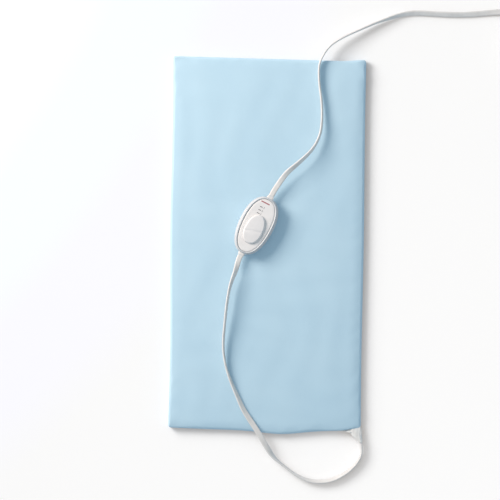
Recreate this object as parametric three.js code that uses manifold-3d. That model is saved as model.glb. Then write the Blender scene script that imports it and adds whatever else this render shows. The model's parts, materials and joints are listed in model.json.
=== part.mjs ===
// A cloth-covered electric heating pad with an in-line slide controller on a flat cord.
// Millimetres, +Z up. The origin lies under the middle of the pad, on the surface that the pad lies on,
// +Y along the pad's length. The controller lies on the pad, and the spare supply cord is coiled beside it.

import * as THREE from 'three';
import { mergeVertices } from 'three/addons/utils/BufferGeometryUtils.js';
import Module from 'manifold-3d';

// Clearance between pieces that lie on or fit into each other.
const FIT = 0.3;
// How far a cutting body reaches past the face that it cuts.
const OVERCUT = 1;

// Cover: an open cloth pocket with rolled edges and a low crown.
const COVER_WIDTH = 314;
const COVER_LENGTH = 604;
const COVER_WALL = 1;
const COVER_CORNER_RADIUS = 7;
const COVER_SIDE_DRAW_IN = 1.2;
const COVER_BOW = 7;
const COVER_BOW_X = 15;
const COVER_BOW_REACH = 110;
const COVER_BOTTOM_ROLL = 6;
const COVER_TOP_ROLL = 9;
const COVER_WIDEST_HEIGHT = 6.5;
const COVER_CROWN = 1.4;
const COVER_CROWN_REACH = 60;

// Layers inside the cover, from the outside in.
const VINYL_THICKNESS = 0.6;
const FELT_BELOW = 3;
const FELT_ABOVE = 4;

// Heating wires: two circuits, laid as four tracks side by side.
const WIRE_DIAMETER = 2.4;
const WIRE_PITCH = 20;
const WIRE_END_MARGIN = 30;
const THERMOSTAT_LENGTH = 20;
const THERMOSTAT_WIDTH = 9;
const THERMOSTAT_HEIGHT = 5.4;
const THERMOSTAT_A_Y = -30;
const THERMOSTAT_B_Y = 60;

// Strain relief in the cover's mouth: a wide flat root inside, a tall narrow nose on the lead.
const RELIEF_ROOT_WIDTH = 30;
const RELIEF_ROOT_HEIGHT = 6.4;
const RELIEF_LENGTH_INSIDE = 20;
const RELIEF_LENGTH_OUTSIDE = 17;
const RELIEF_NOSE_WIDTH = 6.6;
const RELIEF_NOSE_HEIGHT = 11.6;
const RELIEF_NOSE_SHIFT = 22.5;
const RELIEF_WIRE_PITCH = 7;
const MOUTH_CLEARANCE = 1.5;
const MOUTH_FROM_SIDE = 5;

// Flat cord, for the pad lead and the supply cord alike.
const CORD_WIDTH = 9;
const CORD_THICKNESS = 3.4;
const CORD_EDGE = 1;
const ON_EDGE = 90;
const HALF_TURN = 180;

// Controller case: a lower shell with a raised rim, egg-shaped, a little wider at the supply cord's end.
const CONTROLLER_X = -19.6;
const CONTROLLER_Y = 29.9;
const CONTROLLER_TURN = 26.5;
const CASE_LENGTH = 100;
const CASE_WIDTH = 57;
const CASE_BLUNTNESS = 2.3;
const CASE_TAPER = -0.05;
const CASE_WALL = 2;
const CASE_FOOT_INSET = 6;
const CASE_WAIST_HEIGHT = 8.5;
const CASE_RIM_HEIGHT = 21;
const CASE_RIM_INSET = 4;
const CASE_RIM_WALL = 1.6;
const GROOVE_INSET = 6.2;
const GROOVE_DEPTH = 3;

// Controller lid, a flat panel sunk below the rim.
const LID_TOP = 19.6;
const LID_WALL = 2;
const LID_EDGE = 0.8;
const LID_SKIRT = 1.2;

// Slide switch: three heat settings past off.
const SETTING_STEP = 5.5;
const SETTING_COUNT = 3;
const SLIDER_LENGTH = 49.5;
const SLIDER_WIDTH = 31;
const SLIDER_BLUNTNESS = 2.2;
const SLIDER_TAPER = 0.06;
const SLIDER_AHEAD = 1.75;
const SLIDER_HEIGHT = 3.6;
const SLIDER_EDGE = 2.6;
const GRIP_RADIUS = 9;
const GRIP_DEPTH = 1;
const GRIP_BACK = 4;
const NECK_LENGTH = 8;
const NECK_WIDTH = 5;
const NECK_DEPTH = 2.6;
const CARRIAGE_WIDTH = 22;
const CARRIAGE_MARGIN = 2.6;
const NOTCH_DEPTH = 1.7;
const NOTCH_WIDTH = 4.8;

// Contacts on their board.
const BOARD_LENGTH = 52;
const BOARD_WIDTH = 25;
const BOARD_THICKNESS = 1.6;
const BOARD_CORNER_RADIUS = 1.5;
const BOARD_HEIGHT = 9.2;
const CONTACT_THICKNESS = 0.8;
const CONTACT_OVERHANG = 1.5;
const CONTACT_BAR_WIDTH = 2.2;
const CONTACT_TOOTH_LENGTH = 3.6;
const CONTACT_TOOTH_REACH = 3.2;
const COMMON_WIDTH = 3.2;
const WIPER_LENGTH = 3;
const POST_RADIUS = 2;
const POST_INSET = 3.5;

// Detent spring, a leaf with one bump that drops into the carriage's notches.
const SPRING_LENGTH = 30;
const SPRING_THICKNESS = 0.5;
const SPRING_HEIGHT = 3.4;
const SPRING_BUMP = 2.4;
const SPRING_POST_THICKNESS = 2.2;
const SPRING_POST_LENGTH = 4;

// Case screws and their bosses, one at each side.
const BOSS_X = 17.4;
const BOSS_RADIUS = 4.2;
const BOSS_SPLIT = 8.4;
const LID_BOSS_RADIUS = 3.2;
const SCREW_RADIUS = 1.4;
const SCREW_LENGTH = 13;
const SCREW_HEAD_RADIUS = 2.8;
const SCREW_HEAD_HEIGHT = 2;
const SCREW_HEAD_SINK = 0.6;

// Cord grommets in the ends of the case, and the wires inside it.
const GROMMET_HEIGHT = 9.4;
const GROMMET_FLANGE_WIDTH = 14;
const GROMMET_FLANGE_HEIGHT = 6.2;
const GROMMET_FLANGE_LENGTH = 3;
const GROMMET_FLANGE_SETBACK = 6.4;
const GROMMET_SHANK_WIDTH = 11.4;
const GROMMET_SHANK_HEIGHT = 5.2;
const GROMMET_LENGTH_OUTSIDE = 4;
const GROMMET_TAPER = 0.6;
const INNER_WIRE_DIAMETER = 1.8;
const NEUTRAL_HEIGHT = 6.4;

// Coil of the spare supply cord, on edge, two layers, held by a strap.
const COIL_CENTRE_X = 452;
const COIL_CENTRE_Y = 331;
const COIL_OUTER_RADIUS = 57;
const COIL_PITCH = 5.2;
const COIL_TURNS = 4.25;
const COIL_LAYER_GAP = 1.8;
const COIL_CLIMB_TURNS = 0.5;
const STRAP_THICKNESS = 0.9;
const STRAP_WIDTH = 10;
const STRAP_SLACK = 0.5;
const STRAP_CORNER_RADIUS = 3;
const STRAP_ANGLE = 215;

// Plug: ribbed strain relief, tapered body and two blades.
const PLUG_HEIGHT = 8.4;
const PLUG_RELIEF_LENGTH = 24;
const PLUG_RELIEF_WIDTH = 13;
const PLUG_RELIEF_HEIGHT = 8;
const PLUG_RELIEF_WALL = 0.8;
const PLUG_RIB_COUNT = 4;
const PLUG_RIB_DEPTH = 0.6;
const PLUG_BACK_STEP = 1.5;
const PLUG_SWELL = 1.2;
const PLUG_LENGTH = 30;
const PLUG_WIDTH = 27;
const PLUG_THICKNESS = 16;
const BLADE_SPACING = 12.7;
const BLADE_THICKNESS = 1.5;
const BLADE_LENGTH = 17;
const BLADE_ROOT = 9;
const LIVE_BLADE_WIDTH = 6.35;
const NEUTRAL_BLADE_WIDTH = 7.94;
const BLADE_HOLE_RADIUS = 1.6;
const BLADE_HOLE_FROM_TIP = 5;
const BLADE_CHAMFER = 1.4;

// Route of the pad lead: x, y, height and roll in degrees, 0 flat and 90 on edge.
// The first list lies on the floor, with heights from there.
const LEAD_ON_FLOOR = [
  [159.2, -337, 6, 90],
  [157, -346, 5.5, 86],
  [150.6, -356.4, 5.2, 78],
  [139, -368, 5, 68],
  [123.3, -378.4, 4.9, 62],
  [108.6, -384.6, 4.9, 58],
  [91.5, -387, 4.9, 58],
  [76.5, -385.8, 4.9, 62],
  [62.5, -381.4, 5, 72],
  [47, -373, 5.4, 82],
  [35.4, -364.5, 6, 86],
  [23.6, -355.2, 7.4, 76],
  [13.2, -345, 9.6, 48],
  [5.4, -333.6, 12.2, 16],
  [-1.8, -322, 14.4, 4],
];
// The second list lies on the pad, with heights above the pad's top.
const LEAD_ON_PAD = [
  [-9.6, -308.5, 1.9, 2],
  [-25.8, -284.3, 3.4, 20],
  [-36, -268, 4.3, 36],
  [-43.7, -251.8, 4.8, 50],
  [-51.3, -235.6, 5, 62],
  [-58.1, -219.4, 5.3, 72],
  [-63.9, -203.2, 5.7, 82],
  [-67.4, -186.9, 6.8, 80],
  [-69.3, -170.6, 8.2, 76],
  [-69.2, -151, 10, 74],
  [-67.8, -132.5, 11.7, 74],
  [-65.4, -104.4, 13.9, 72],
  [-63, -85.7, 14.3, 70],
  [-58.3, -63.3, 13.8, 60],
  [-51.6, -44, 12.4, 36],
];
// Route of the supply cord, in the same way.
const SUPPLY_ON_PAD = [
  [11, 90, 11.4, 0],
  [19.9, 103.6, 13.8, 10],
  [31, 117.6, 16.2, 26],
  [43.5, 128.6, 17, 42],
  [55, 139.1, 16.4, 54],
  [68, 152.6, 14.2, 64],
  [77.4, 167.6, 12, 70],
  [82.6, 181.7, 10.2, 72],
  [84.9, 197, 8.8, 72],
  [85.2, 217, 7.2, 73],
  [83.6, 238.5, 6, 75],
  [80.6, 259.2, 5.4, 79],
  [79, 279, 5.1, 83],
  [80, 295, 4.9, 87],
];
const SUPPLY_ON_FLOOR = [
  [85.6, 309, 18.6, 90],
  [94, 321.5, 16.8, 90],
  [106, 332, 15, 90],
  [122, 341.5, 12.8, 90],
  [138, 349.5, 10.8, 88],
  [155, 357.4, 9, 85],
  [171, 364.6, 7.6, 80],
  [188, 371, 6.4, 68],
  [203, 376.2, 5.4, 52],
  [219, 380.5, 4.8, 40],
  [236, 382.5, 4.5, 36],
  [260, 382, 4.4, 35],
  [285, 381, 4.3, 33],
  [310, 381, 4.1, 30],
  [334, 382.5, 3.6, 22],
  [358, 385, 3.2, 12],
  [376, 386.5, 3.4, -6],
  [394, 387.6, 4.4, -34],
  [412, 388, 5.4, -64],
  [428, 388, 6, -86],
];
// Route of the tail from the coil to the plug.
const TAIL_ON_FLOOR = [
  [509, 308, 16, -96],
  [509.5, 294, 13.6, -120],
  [510, 280, 10.8, -148],
  [510, 266, 9, -170],
];
const TAIL_END = [510, 252];

// Counts of flat faces on the round shapes.
const CASE_SIDES = 40;
const SLIDER_SIDES = 32;
const PROFILE_STEPS = 3;
const COVER_LONG_STEPS = 9;
const COVER_SHORT_STEPS = 6;
const CORNER_STEPS = 3;
const WIRE_SIDES = 6;
const INNER_WIRE_STEPS = 4;
const BOSS_SIDES = 16;
const POST_SIDES = 10;
const SCREW_SIDES = 14;
const GRIP_SIDES = 32;
const ARC_STEPS = 5;
const TURN_STEPS = 10;
const COIL_STEPS_PER_TURN = 24;

// Heights of the layers in the pad, each worked out from the one below.
const vinylBelow = COVER_WALL + FIT;
const feltBelow = vinylBelow + VINYL_THICKNESS + FIT;
const wireBottom = feltBelow + FELT_BELOW + FIT;
const wireAxis = wireBottom + WIRE_DIAMETER / 2;
const feltAbove = wireBottom + WIRE_DIAMETER + FIT;
const vinylAbove = feltAbove + FELT_ABOVE + FIT;
const coverAbove = vinylAbove + VINYL_THICKNESS + FIT;
const padTop = coverAbove + COVER_WALL;

const wasm = await Module();
wasm.setup();

const finishes = {
  cloth: new THREE.MeshStandardMaterial({ color: 0xa9cfe6, roughness: 0.95 }),
  vinyl: new THREE.MeshStandardMaterial({ color: 0xe9e6e2, roughness: 0.5 }),
  felt: new THREE.MeshStandardMaterial({ color: 0xd8d3c4, roughness: 1 }),
  wire: new THREE.MeshStandardMaterial({ color: 0xd9c9a8, roughness: 0.6 }),
  thermostat: new THREE.MeshStandardMaterial({ color: 0x3a3430, roughness: 0.5 }),
  whitePlastic: new THREE.MeshStandardMaterial({ color: 0xeeecea, roughness: 0.4 }),
  cord: new THREE.MeshStandardMaterial({ color: 0xeae7e2, roughness: 0.5 }),
  innerPlastic: new THREE.MeshStandardMaterial({ color: 0x4c5056, roughness: 0.6 }),
  board: new THREE.MeshStandardMaterial({ color: 0x8a6a3c, roughness: 0.7 }),
  brass: new THREE.MeshStandardMaterial({ color: 0xc8a24e, roughness: 0.35, metalness: 1 }),
  steel: new THREE.MeshStandardMaterial({ color: 0xb9bcc0, roughness: 0.35, metalness: 1 }),
  strap: new THREE.MeshStandardMaterial({ color: 0xf2f0ec, roughness: 0.6 }),
};

const model = new THREE.Group();

function addPiece(parent, name, geometry, finish) {
  const piece = new THREE.Mesh(geometry, finish);
  piece.name = name;
  parent.add(piece);
  return piece;
}

// Solids, cuts and joins.

function solidOf(geometry) {
  const bare = new THREE.BufferGeometry();
  bare.setAttribute('position', geometry.getAttribute('position').clone());
  bare.setIndex(geometry.index ? geometry.index.clone() : null);
  const merged = mergeVertices(bare, 1e-4);
  const vertProperties = new Float32Array(merged.getAttribute('position').array);
  const triVerts = new Uint32Array(merged.index.array);
  return new wasm.Manifold(new wasm.Mesh({ numProp: 3, vertProperties, triVerts }));
}

function geometryOf(solid) {
  const mesh = solid.getMesh();
  const geometry = new THREE.BufferGeometry();
  geometry.setAttribute('position', new THREE.BufferAttribute(new Float32Array(mesh.vertProperties), 3));
  geometry.setIndex(new THREE.BufferAttribute(new Uint32Array(mesh.triVerts), 1));
  geometry.computeVertexNormals();
  return geometry;
}

function cut(body, ...tools) {
  return geometryOf(tools.reduce((solid, tool) => solid.subtract(solidOf(tool)), solidOf(body)));
}

function join(body, ...others) {
  return geometryOf(others.reduce((solid, other) => solid.add(solidOf(other)), solidOf(body)));
}

// Lofts equal rings of points into one closed solid. Each ring runs counter-clockwise seen from the last.
function loft(rings) {
  const count = rings[0].length;
  const positions = rings.flat().flatMap((point) => [point.x, point.y, point.z]);
  const index = [];
  for (let ring = 0; ring + 1 < rings.length; ring += 1) {
    for (let side = 0; side < count; side += 1) {
      const next = (side + 1) % count;
      const low = ring * count;
      const high = low + count;
      index.push(low + side, low + next, high + next, low + side, high + next, high + side);
    }
  }
  const last = (rings.length - 1) * count;
  const foot = rings.length * count;
  const head = foot + 1;
  for (const ring of [rings[0], rings[rings.length - 1]]) {
    const centre = ring.reduce((sum, point) => sum.add(point), new THREE.Vector3()).divideScalar(count);
    positions.push(centre.x, centre.y, centre.z);
  }
  for (let side = 0; side < count; side += 1) {
    const next = (side + 1) % count;
    index.push(foot, next, side);
    index.push(head, last + side, last + next);
  }
  const geometry = new THREE.BufferGeometry();
  geometry.setAttribute('position', new THREE.Float32BufferAttribute(positions, 3));
  geometry.setIndex(index);
  geometry.computeVertexNormals();
  return geometry;
}

// A ring of flat points at one height.
function level(outline, height) {
  return outline.map((point) => new THREE.Vector3(point.x, point.y, height));
}

// A box from its two corners.
function block(low, high) {
  const size = high.map((value, axis) => value - low[axis]);
  const middle = high.map((value, axis) => (value + low[axis]) / 2);
  return new THREE.BoxGeometry(...size).translate(...middle);
}

// An upright round post.
function post(x, y, radius, low, high, sides = BOSS_SIDES) {
  const shaft = new THREE.CylinderGeometry(radius, radius, high - low, sides);
  return shaft.rotateX(Math.PI / 2).translate(x, y, (low + high) / 2);
}

// A flat outline pushed up from one height to another.
function plate(shape, low, high) {
  const options = { depth: high - low, bevelEnabled: false, curveSegments: ARC_STEPS };
  return new THREE.ExtrudeGeometry(shape, options).translate(0, 0, low);
}

function polygon(points) {
  return new THREE.Shape(points.map(([x, y]) => new THREE.Vector2(x, y)));
}

// A rounded rectangle, counter-clockwise, with a number of steps on each side and corner.
function roundedRectangle(width, height, radius, stepsAcross = 1, stepsUp = 1, cornerSteps = 2) {
  const corners = [[1, -1, -90], [1, 1, 0], [-1, 1, 90], [-1, -1, 180]];
  const points = [];
  corners.forEach(([right, up, from], corner) => {
    const centreX = right * (width / 2 - radius);
    const centreY = up * (height / 2 - radius);
    for (let step = 0; step <= cornerSteps; step += 1) {
      const angle = THREE.MathUtils.degToRad(from + 90 * step / cornerSteps);
      points.push(new THREE.Vector2(centreX + radius * Math.cos(angle), centreY + radius * Math.sin(angle)));
    }
    const sideSteps = corner % 2 === 0 ? stepsUp : stepsAcross;
    const [nextRight, nextUp, nextFrom] = corners[(corner + 1) % 4];
    const nextAngle = THREE.MathUtils.degToRad(nextFrom);
    const end = new THREE.Vector2(
      nextRight * (width / 2 - radius) + radius * Math.cos(nextAngle),
      nextUp * (height / 2 - radius) + radius * Math.sin(nextAngle),
    );
    const start = points[points.length - 1].clone();
    for (let step = 1; step < sideSteps; step += 1) {
      points.push(start.clone().lerp(end, step / sideSteps));
    }
  });
  return points;
}

// A rounded edge in section: from low up to the waist and on to high, as two quarter ellipses.
// Each point gives how far the outline is inset and its height.
function roundedEdge(low, waist, high, steps = PROFILE_STEPS) {
  const points = [];
  for (let step = 0; step < steps; step += 1) {
    const angle = (Math.PI / 2) * (step / steps);
    points.push([
      waist[0] + (low[0] - waist[0]) * (1 - Math.sin(angle)),
      low[1] + (waist[1] - low[1]) * (1 - Math.cos(angle)),
    ]);
  }
  for (let step = 0; step <= steps; step += 1) {
    const angle = (Math.PI / 2) * (step / steps);
    points.push([
      waist[0] + (high[0] - waist[0]) * (1 - Math.cos(angle)),
      waist[1] + (high[1] - waist[1]) * Math.sin(angle),
    ]);
  }
  return points;
}

// The upper half of such an edge alone, from the waist to high.
function upperEdge(waist, high) {
  return roundedEdge(waist, waist, high).slice(PROFILE_STEPS);
}

// Stations along a path: a point, with the directions across the section there.
// The roll in degrees turns the section about the path, 0 with its x axis level.
function stationsAlong(points, rolls, startDirection, endDirection) {
  const up = new THREE.Vector3(0, 0, 1);
  return points.map((point, place) => {
    const ahead = new THREE.Vector3();
    const behind = new THREE.Vector3();
    if (place + 1 < points.length) ahead.subVectors(points[place + 1], point).normalize();
    if (place > 0) behind.subVectors(point, points[place - 1]).normalize();
    let tangent = ahead.clone().add(behind).normalize();
    if (place === 0 && startDirection) tangent = startDirection.clone();
    if (place === points.length - 1 && endDirection) tangent = endDirection.clone();
    const left = new THREE.Vector3().crossVectors(up, tangent).normalize();
    const over = new THREE.Vector3().crossVectors(tangent, left);
    const roll = THREE.MathUtils.degToRad(rolls ? rolls[place] : 0);
    const wide = left.clone().multiplyScalar(Math.cos(roll)).addScaledVector(over, Math.sin(roll));
    const thin = left.clone().multiplyScalar(-Math.sin(roll)).addScaledVector(over, Math.cos(roll));
    return { point, tangent, wide, thin };
  });
}

// A path that is already divided into stations, for an extrusion to follow.
class StationPath extends THREE.Curve {
  constructor(stations) {
    super();
    this.stations = stations;
  }

  getSpacedPoints() {
    return this.stations.map((station) => station.point.clone());
  }

  computeFrenetFrames() {
    return {
      tangents: this.stations.map((station) => station.tangent),
      normals: this.stations.map((station) => station.wide),
      binormals: this.stations.map((station) => station.thin),
    };
  }
}

function sweep(section, stations) {
  const extrudePath = new StationPath(stations);
  return new THREE.ExtrudeGeometry(section, { steps: stations.length - 1, bevelEnabled: false, extrudePath });
}

function roundSection(diameter) {
  const points = [];
  for (let side = 0; side < WIRE_SIDES; side += 1) {
    const angle = (2 * Math.PI * side) / WIRE_SIDES;
    points.push([diameter / 2 * Math.cos(angle), diameter / 2 * Math.sin(angle)]);
  }
  return polygon(points);
}

// Flat cord in section, an eight-sided slab with cut corners.
function cordSection() {
  const x = CORD_WIDTH / 2;
  const y = CORD_THICKNESS / 2;
  return polygon([
    [x, -y + CORD_EDGE], [x, y - CORD_EDGE], [x - CORD_EDGE, y], [-x + CORD_EDGE, y],
    [-x, y - CORD_EDGE], [-x, -y + CORD_EDGE], [-x + CORD_EDGE, -y], [x - CORD_EDGE, -y],
  ]);
}

// The same cord in its coil, with six sides.
function coilSection() {
  const x = CORD_WIDTH / 2;
  const y = CORD_THICKNESS / 2;
  const flat = x - y;
  return polygon([[x, 0], [flat, y], [-flat, y], [-x, 0], [-flat, -y], [flat, -y]]);
}

// Pad: cover, bag, felts, heating wires and strain relief.

// How far the end with the mouth bows out, most near its middle.
function endBow(x) {
  const share = Math.min(Math.abs(x - COVER_BOW_X) / COVER_BOW_REACH, 1);
  return COVER_BOW * (1 - share * share) ** 2;
}

// Outline of the cover or of a layer in it, whose long sides draw in between the corners.
function coverOutline(inset) {
  const radius = Math.max(COVER_CORNER_RADIUS - inset, 1);
  const points = roundedRectangle(
    COVER_WIDTH - 2 * inset,
    COVER_LENGTH - 2 * inset,
    radius,
    COVER_SHORT_STEPS,
    COVER_LONG_STEPS,
    CORNER_STEPS,
  );
  return points.map((point) => {
    const along = Math.min(Math.abs(point.y) / (COVER_LENGTH / 2 - inset - radius), 1);
    const drawIn = COVER_SIDE_DRAW_IN * (1 - along * along);
    const bow = point.y < 0 ? endBow(point.x) : 0;
    return new THREE.Vector2(point.x - Math.sign(point.x) * drawIn * edgeShare(point, inset), point.y - bow);
  });
}

// How much of the side's draw-in a point takes: all of it on the side, none at the middle.
function edgeShare(point, inset) {
  return Math.abs(point.x) / (COVER_WIDTH / 2 - inset);
}

// Crown of the pad's top: how far it has fallen below the middle at each inset.
const crownPoints = [];
for (let step = 0; step <= PROFILE_STEPS; step += 1) {
  const share = step / PROFILE_STEPS;
  const inset = THREE.MathUtils.lerp(COVER_TOP_ROLL, COVER_CROWN_REACH, share);
  crownPoints.push([inset, COVER_CROWN * (1 - share) ** 2]);
}

function crownDrop(inset) {
  const place = crownPoints.findIndex(([far]) => far >= inset);
  if (place < 0) return 0;
  if (place === 0) return crownPoints[0][1];
  const [nearInset, nearDrop] = crownPoints[place - 1];
  const [farInset, farDrop] = crownPoints[place];
  return THREE.MathUtils.mapLinear(inset, nearInset, farInset, nearDrop, farDrop);
}

// The crowned top of a layer, from its edge in to the flat middle.
function crownRings(height, edgeInset) {
  const farther = crownPoints.map(([inset]) => inset).filter((inset) => inset > edgeInset + FIT);
  return [edgeInset, ...farther].map((inset) => level(coverOutline(inset), height - crownDrop(inset)));
}

function coverSolid(offset) {
  const edge = roundedEdge(
    [COVER_BOTTOM_ROLL, offset],
    [offset, COVER_WIDEST_HEIGHT],
    [COVER_TOP_ROLL, padTop - COVER_CROWN - offset],
  );
  const rings = edge.slice(0, -1).map(([inset, height]) => level(coverOutline(inset), height));
  return loft([...rings, ...crownRings(padTop - offset, COVER_TOP_ROLL)]);
}

const mouthWidth = RELIEF_ROOT_WIDTH + 2 * MOUTH_CLEARANCE;
const reliefX = COVER_WIDTH / 2 - MOUTH_FROM_SIDE - mouthWidth / 2;
const coverEnd = -COVER_LENGTH / 2;
const reliefRoot = coverEnd + RELIEF_LENGTH_INSIDE;
const bagInset = COVER_TOP_ROLL;
const feltInset = bagInset + VINYL_THICKNESS + FIT;

// The way through the cover, the bag and the felts that the strain relief takes.
function reliefPassage(clearance, length) {
  const halfWidth = RELIEF_ROOT_WIDTH / 2 + clearance;
  const halfHeight = RELIEF_ROOT_HEIGHT / 2 + clearance;
  return block(
    [reliefX - halfWidth, coverEnd - OVERCUT, wireAxis - halfHeight],
    [reliefX + halfWidth, coverEnd + length, wireAxis + halfHeight],
  );
}

function addCover(pad) {
  const shell = cut(coverSolid(0), coverSolid(COVER_WALL), reliefPassage(MOUTH_CLEARANCE, COVER_TOP_ROLL));
  addPiece(pad, 'pad_cover', shell, finishes.cloth);
}

function addBag(pad) {
  const outline = coverOutline(bagInset);
  const bottom = [vinylBelow, vinylBelow + VINYL_THICKNESS].map((height) => level(outline, height));
  addPiece(pad, 'vinyl_sheet_bottom', loft(bottom), finishes.vinyl);
  const rim = vinylBelow + VINYL_THICKNESS + FIT;
  const outer = loft([level(outline, rim), ...crownRings(vinylAbove + VINYL_THICKNESS, bagInset)]);
  const inside = bagInset + VINYL_THICKNESS;
  const inner = loft([level(coverOutline(inside), rim - OVERCUT), ...crownRings(vinylAbove, inside)]);
  const top = cut(outer, inner, reliefPassage(FIT, RELIEF_LENGTH_INSIDE));
  addPiece(pad, 'vinyl_sheet_top', top, finishes.vinyl);
}

// Room for a thermostat in the felts.
function thermostatPocket(x, y) {
  const reach = [THERMOSTAT_WIDTH / 2 + FIT, THERMOSTAT_LENGTH / 2 + FIT, THERMOSTAT_HEIGHT / 2 + FIT];
  return block(
    [x - reach[0], y - reach[1], wireAxis - reach[2]],
    [x + reach[0], y + reach[1], wireAxis + reach[2]],
  );
}

const trackA = 1.5 * WIRE_PITCH;
const trackB = 0.5 * WIRE_PITCH;
const thermostatA = [-trackA, THERMOSTAT_A_Y];
const thermostatB = [trackB, THERMOSTAT_B_Y];

function addFelts(pad) {
  const room = [
    thermostatPocket(...thermostatA),
    thermostatPocket(...thermostatB),
    reliefPassage(FIT, RELIEF_LENGTH_INSIDE + FIT),
  ];
  const below = [feltBelow, feltBelow + FELT_BELOW].map((height) => level(coverOutline(feltInset), height));
  addPiece(pad, 'felt_bottom', cut(loft(below), ...room), finishes.felt);
  const above = [level(coverOutline(feltInset), feltAbove), ...crownRings(feltAbove + FELT_ABOVE, feltInset)];
  addPiece(pad, 'felt_top', cut(loft(above), ...room), finishes.felt);
}

function addThermostat(pad, name, [x, y]) {
  const outline = roundedRectangle(THERMOSTAT_WIDTH, THERMOSTAT_HEIGHT, THERMOSTAT_HEIGHT / 3);
  const ends = [THERMOSTAT_LENGTH / 2, -THERMOSTAT_LENGTH / 2];
  const rings = ends.map((end) => outline.map((p) => new THREE.Vector3(x + p.x, y + end, wireAxis + p.y)));
  addPiece(pad, name, loft(rings), finishes.thermostat);
}

// Half circle of points about a centre, from one angle to another in degrees.
function turn(centreX, centreY, radius, from, to) {
  const points = [];
  for (let step = 0; step <= TURN_STEPS; step += 1) {
    const angle = THREE.MathUtils.degToRad(from + (to - from) * step / TURN_STEPS);
    const x = centreX + radius * Math.cos(angle);
    const y = centreY + radius * Math.sin(angle);
    points.push(new THREE.Vector3(x, y, wireAxis));
  }
  return points;
}

// One track of wire, at an offset from the middle of its group of four.
// near runs from the strain relief to the second run, far from there to the end of the third.
const runPitch = 4 * WIRE_PITCH;
const turnY = COVER_LENGTH / 2 - WIRE_END_MARGIN - runPitch / 2 - trackA;

function wireTrack(offset) {
  const reliefPlace = reliefX + RELIEF_WIRE_PITCH * offset / WIRE_PITCH;
  const start = new THREE.Vector3(reliefPlace, reliefRoot + FIT, wireAxis);
  const runStart = new THREE.Vector3(runPitch + offset, -turnY, wireAxis);
  const bend = (start.y + runStart.y) / 2;
  const approach = new THREE.CubicBezierCurve3(
    start,
    new THREE.Vector3(start.x, bend, wireAxis),
    new THREE.Vector3(runStart.x, bend, wireAxis),
    runStart,
  );
  return {
    near: [...approach.getPoints(TURN_STEPS), ...turn(runPitch / 2, turnY, runPitch / 2 + offset, 0, 180)],
    far: turn(-runPitch / 2, -turnY, runPitch / 2 - offset, 0, -180),
  };
}

// Return at the end of the third run, from a track to its mirror in the group.
function wireReturn(offset) {
  const endY = COVER_LENGTH / 2 - WIRE_END_MARGIN - trackA;
  return turn(-runPitch, endY, offset, 0, 180);
}

// A wire's end against a thermostat, above or below it.
function thermostatEnd([x, y], side) {
  return new THREE.Vector3(x, y + side * (THERMOSTAT_LENGTH / 2 + FIT), wireAxis);
}

function addWire(pad, name, points) {
  addPiece(pad, name, sweep(roundSection(WIRE_DIAMETER), stationsAlong(points)), finishes.wire);
}

function addHeatingWires(pad) {
  const outA = wireTrack(trackA);
  const backA = wireTrack(-trackA);
  const outB = wireTrack(trackB);
  const backB = wireTrack(-trackB);
  addWire(pad, 'heating_wire_a_near', [...outA.near, thermostatEnd(thermostatA, 1)]);
  addWire(pad, 'heating_wire_a_far', [
    thermostatEnd(thermostatA, -1),
    ...outA.far,
    ...wireReturn(trackA),
    ...backA.far.reverse(),
    ...backA.near.reverse(),
  ]);
  addWire(pad, 'heating_wire_b_far', [
    ...outB.near,
    ...outB.far,
    ...wireReturn(trackB),
    ...backB.far.reverse(),
    thermostatEnd(thermostatB, -1),
  ]);
  addWire(pad, 'heating_wire_b_near', [thermostatEnd(thermostatB, 1), ...backB.near.reverse()]);
  addThermostat(pad, 'thermostat_a', thermostatA);
  addThermostat(pad, 'thermostat_b', thermostatB);
}

const reliefNose = new THREE.Vector3(reliefX + RELIEF_NOSE_SHIFT, coverEnd - RELIEF_LENGTH_OUTSIDE, wireAxis);

// The relief narrows and grows taller from the cover's edge to the nose, along a smooth step.
function addStrainRelief(pad) {
  const ring = (y, x, width, height) => roundedRectangle(width, height, Math.min(width, height) / 3)
    .map((p) => new THREE.Vector3(x + p.x, y, wireAxis + p.y));
  const rings = [ring(reliefRoot, reliefX, RELIEF_ROOT_WIDTH, RELIEF_ROOT_HEIGHT)];
  const steps = 2 * PROFILE_STEPS;
  for (let step = 0; step <= steps; step += 1) {
    const share = THREE.MathUtils.smoothstep(step / steps, 0, 1);
    rings.push(ring(
      THREE.MathUtils.lerp(coverEnd, reliefNose.y, step / steps),
      THREE.MathUtils.lerp(reliefX, reliefNose.x, share),
      THREE.MathUtils.lerp(RELIEF_ROOT_WIDTH, RELIEF_NOSE_WIDTH, share),
      THREE.MathUtils.lerp(RELIEF_ROOT_HEIGHT, RELIEF_NOSE_HEIGHT, share),
    ));
  }
  addPiece(pad, 'pad_strain_relief', loft(rings), finishes.vinyl);
}

function addPad() {
  const pad = new THREE.Group();
  addCover(pad);
  addBag(pad);
  addFelts(pad);
  addHeatingWires(pad);
  addStrainRelief(pad);
  model.add(pad);
}

// Controller, in its own frame: +Y towards the supply cord, z from the underside of the case.

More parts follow.
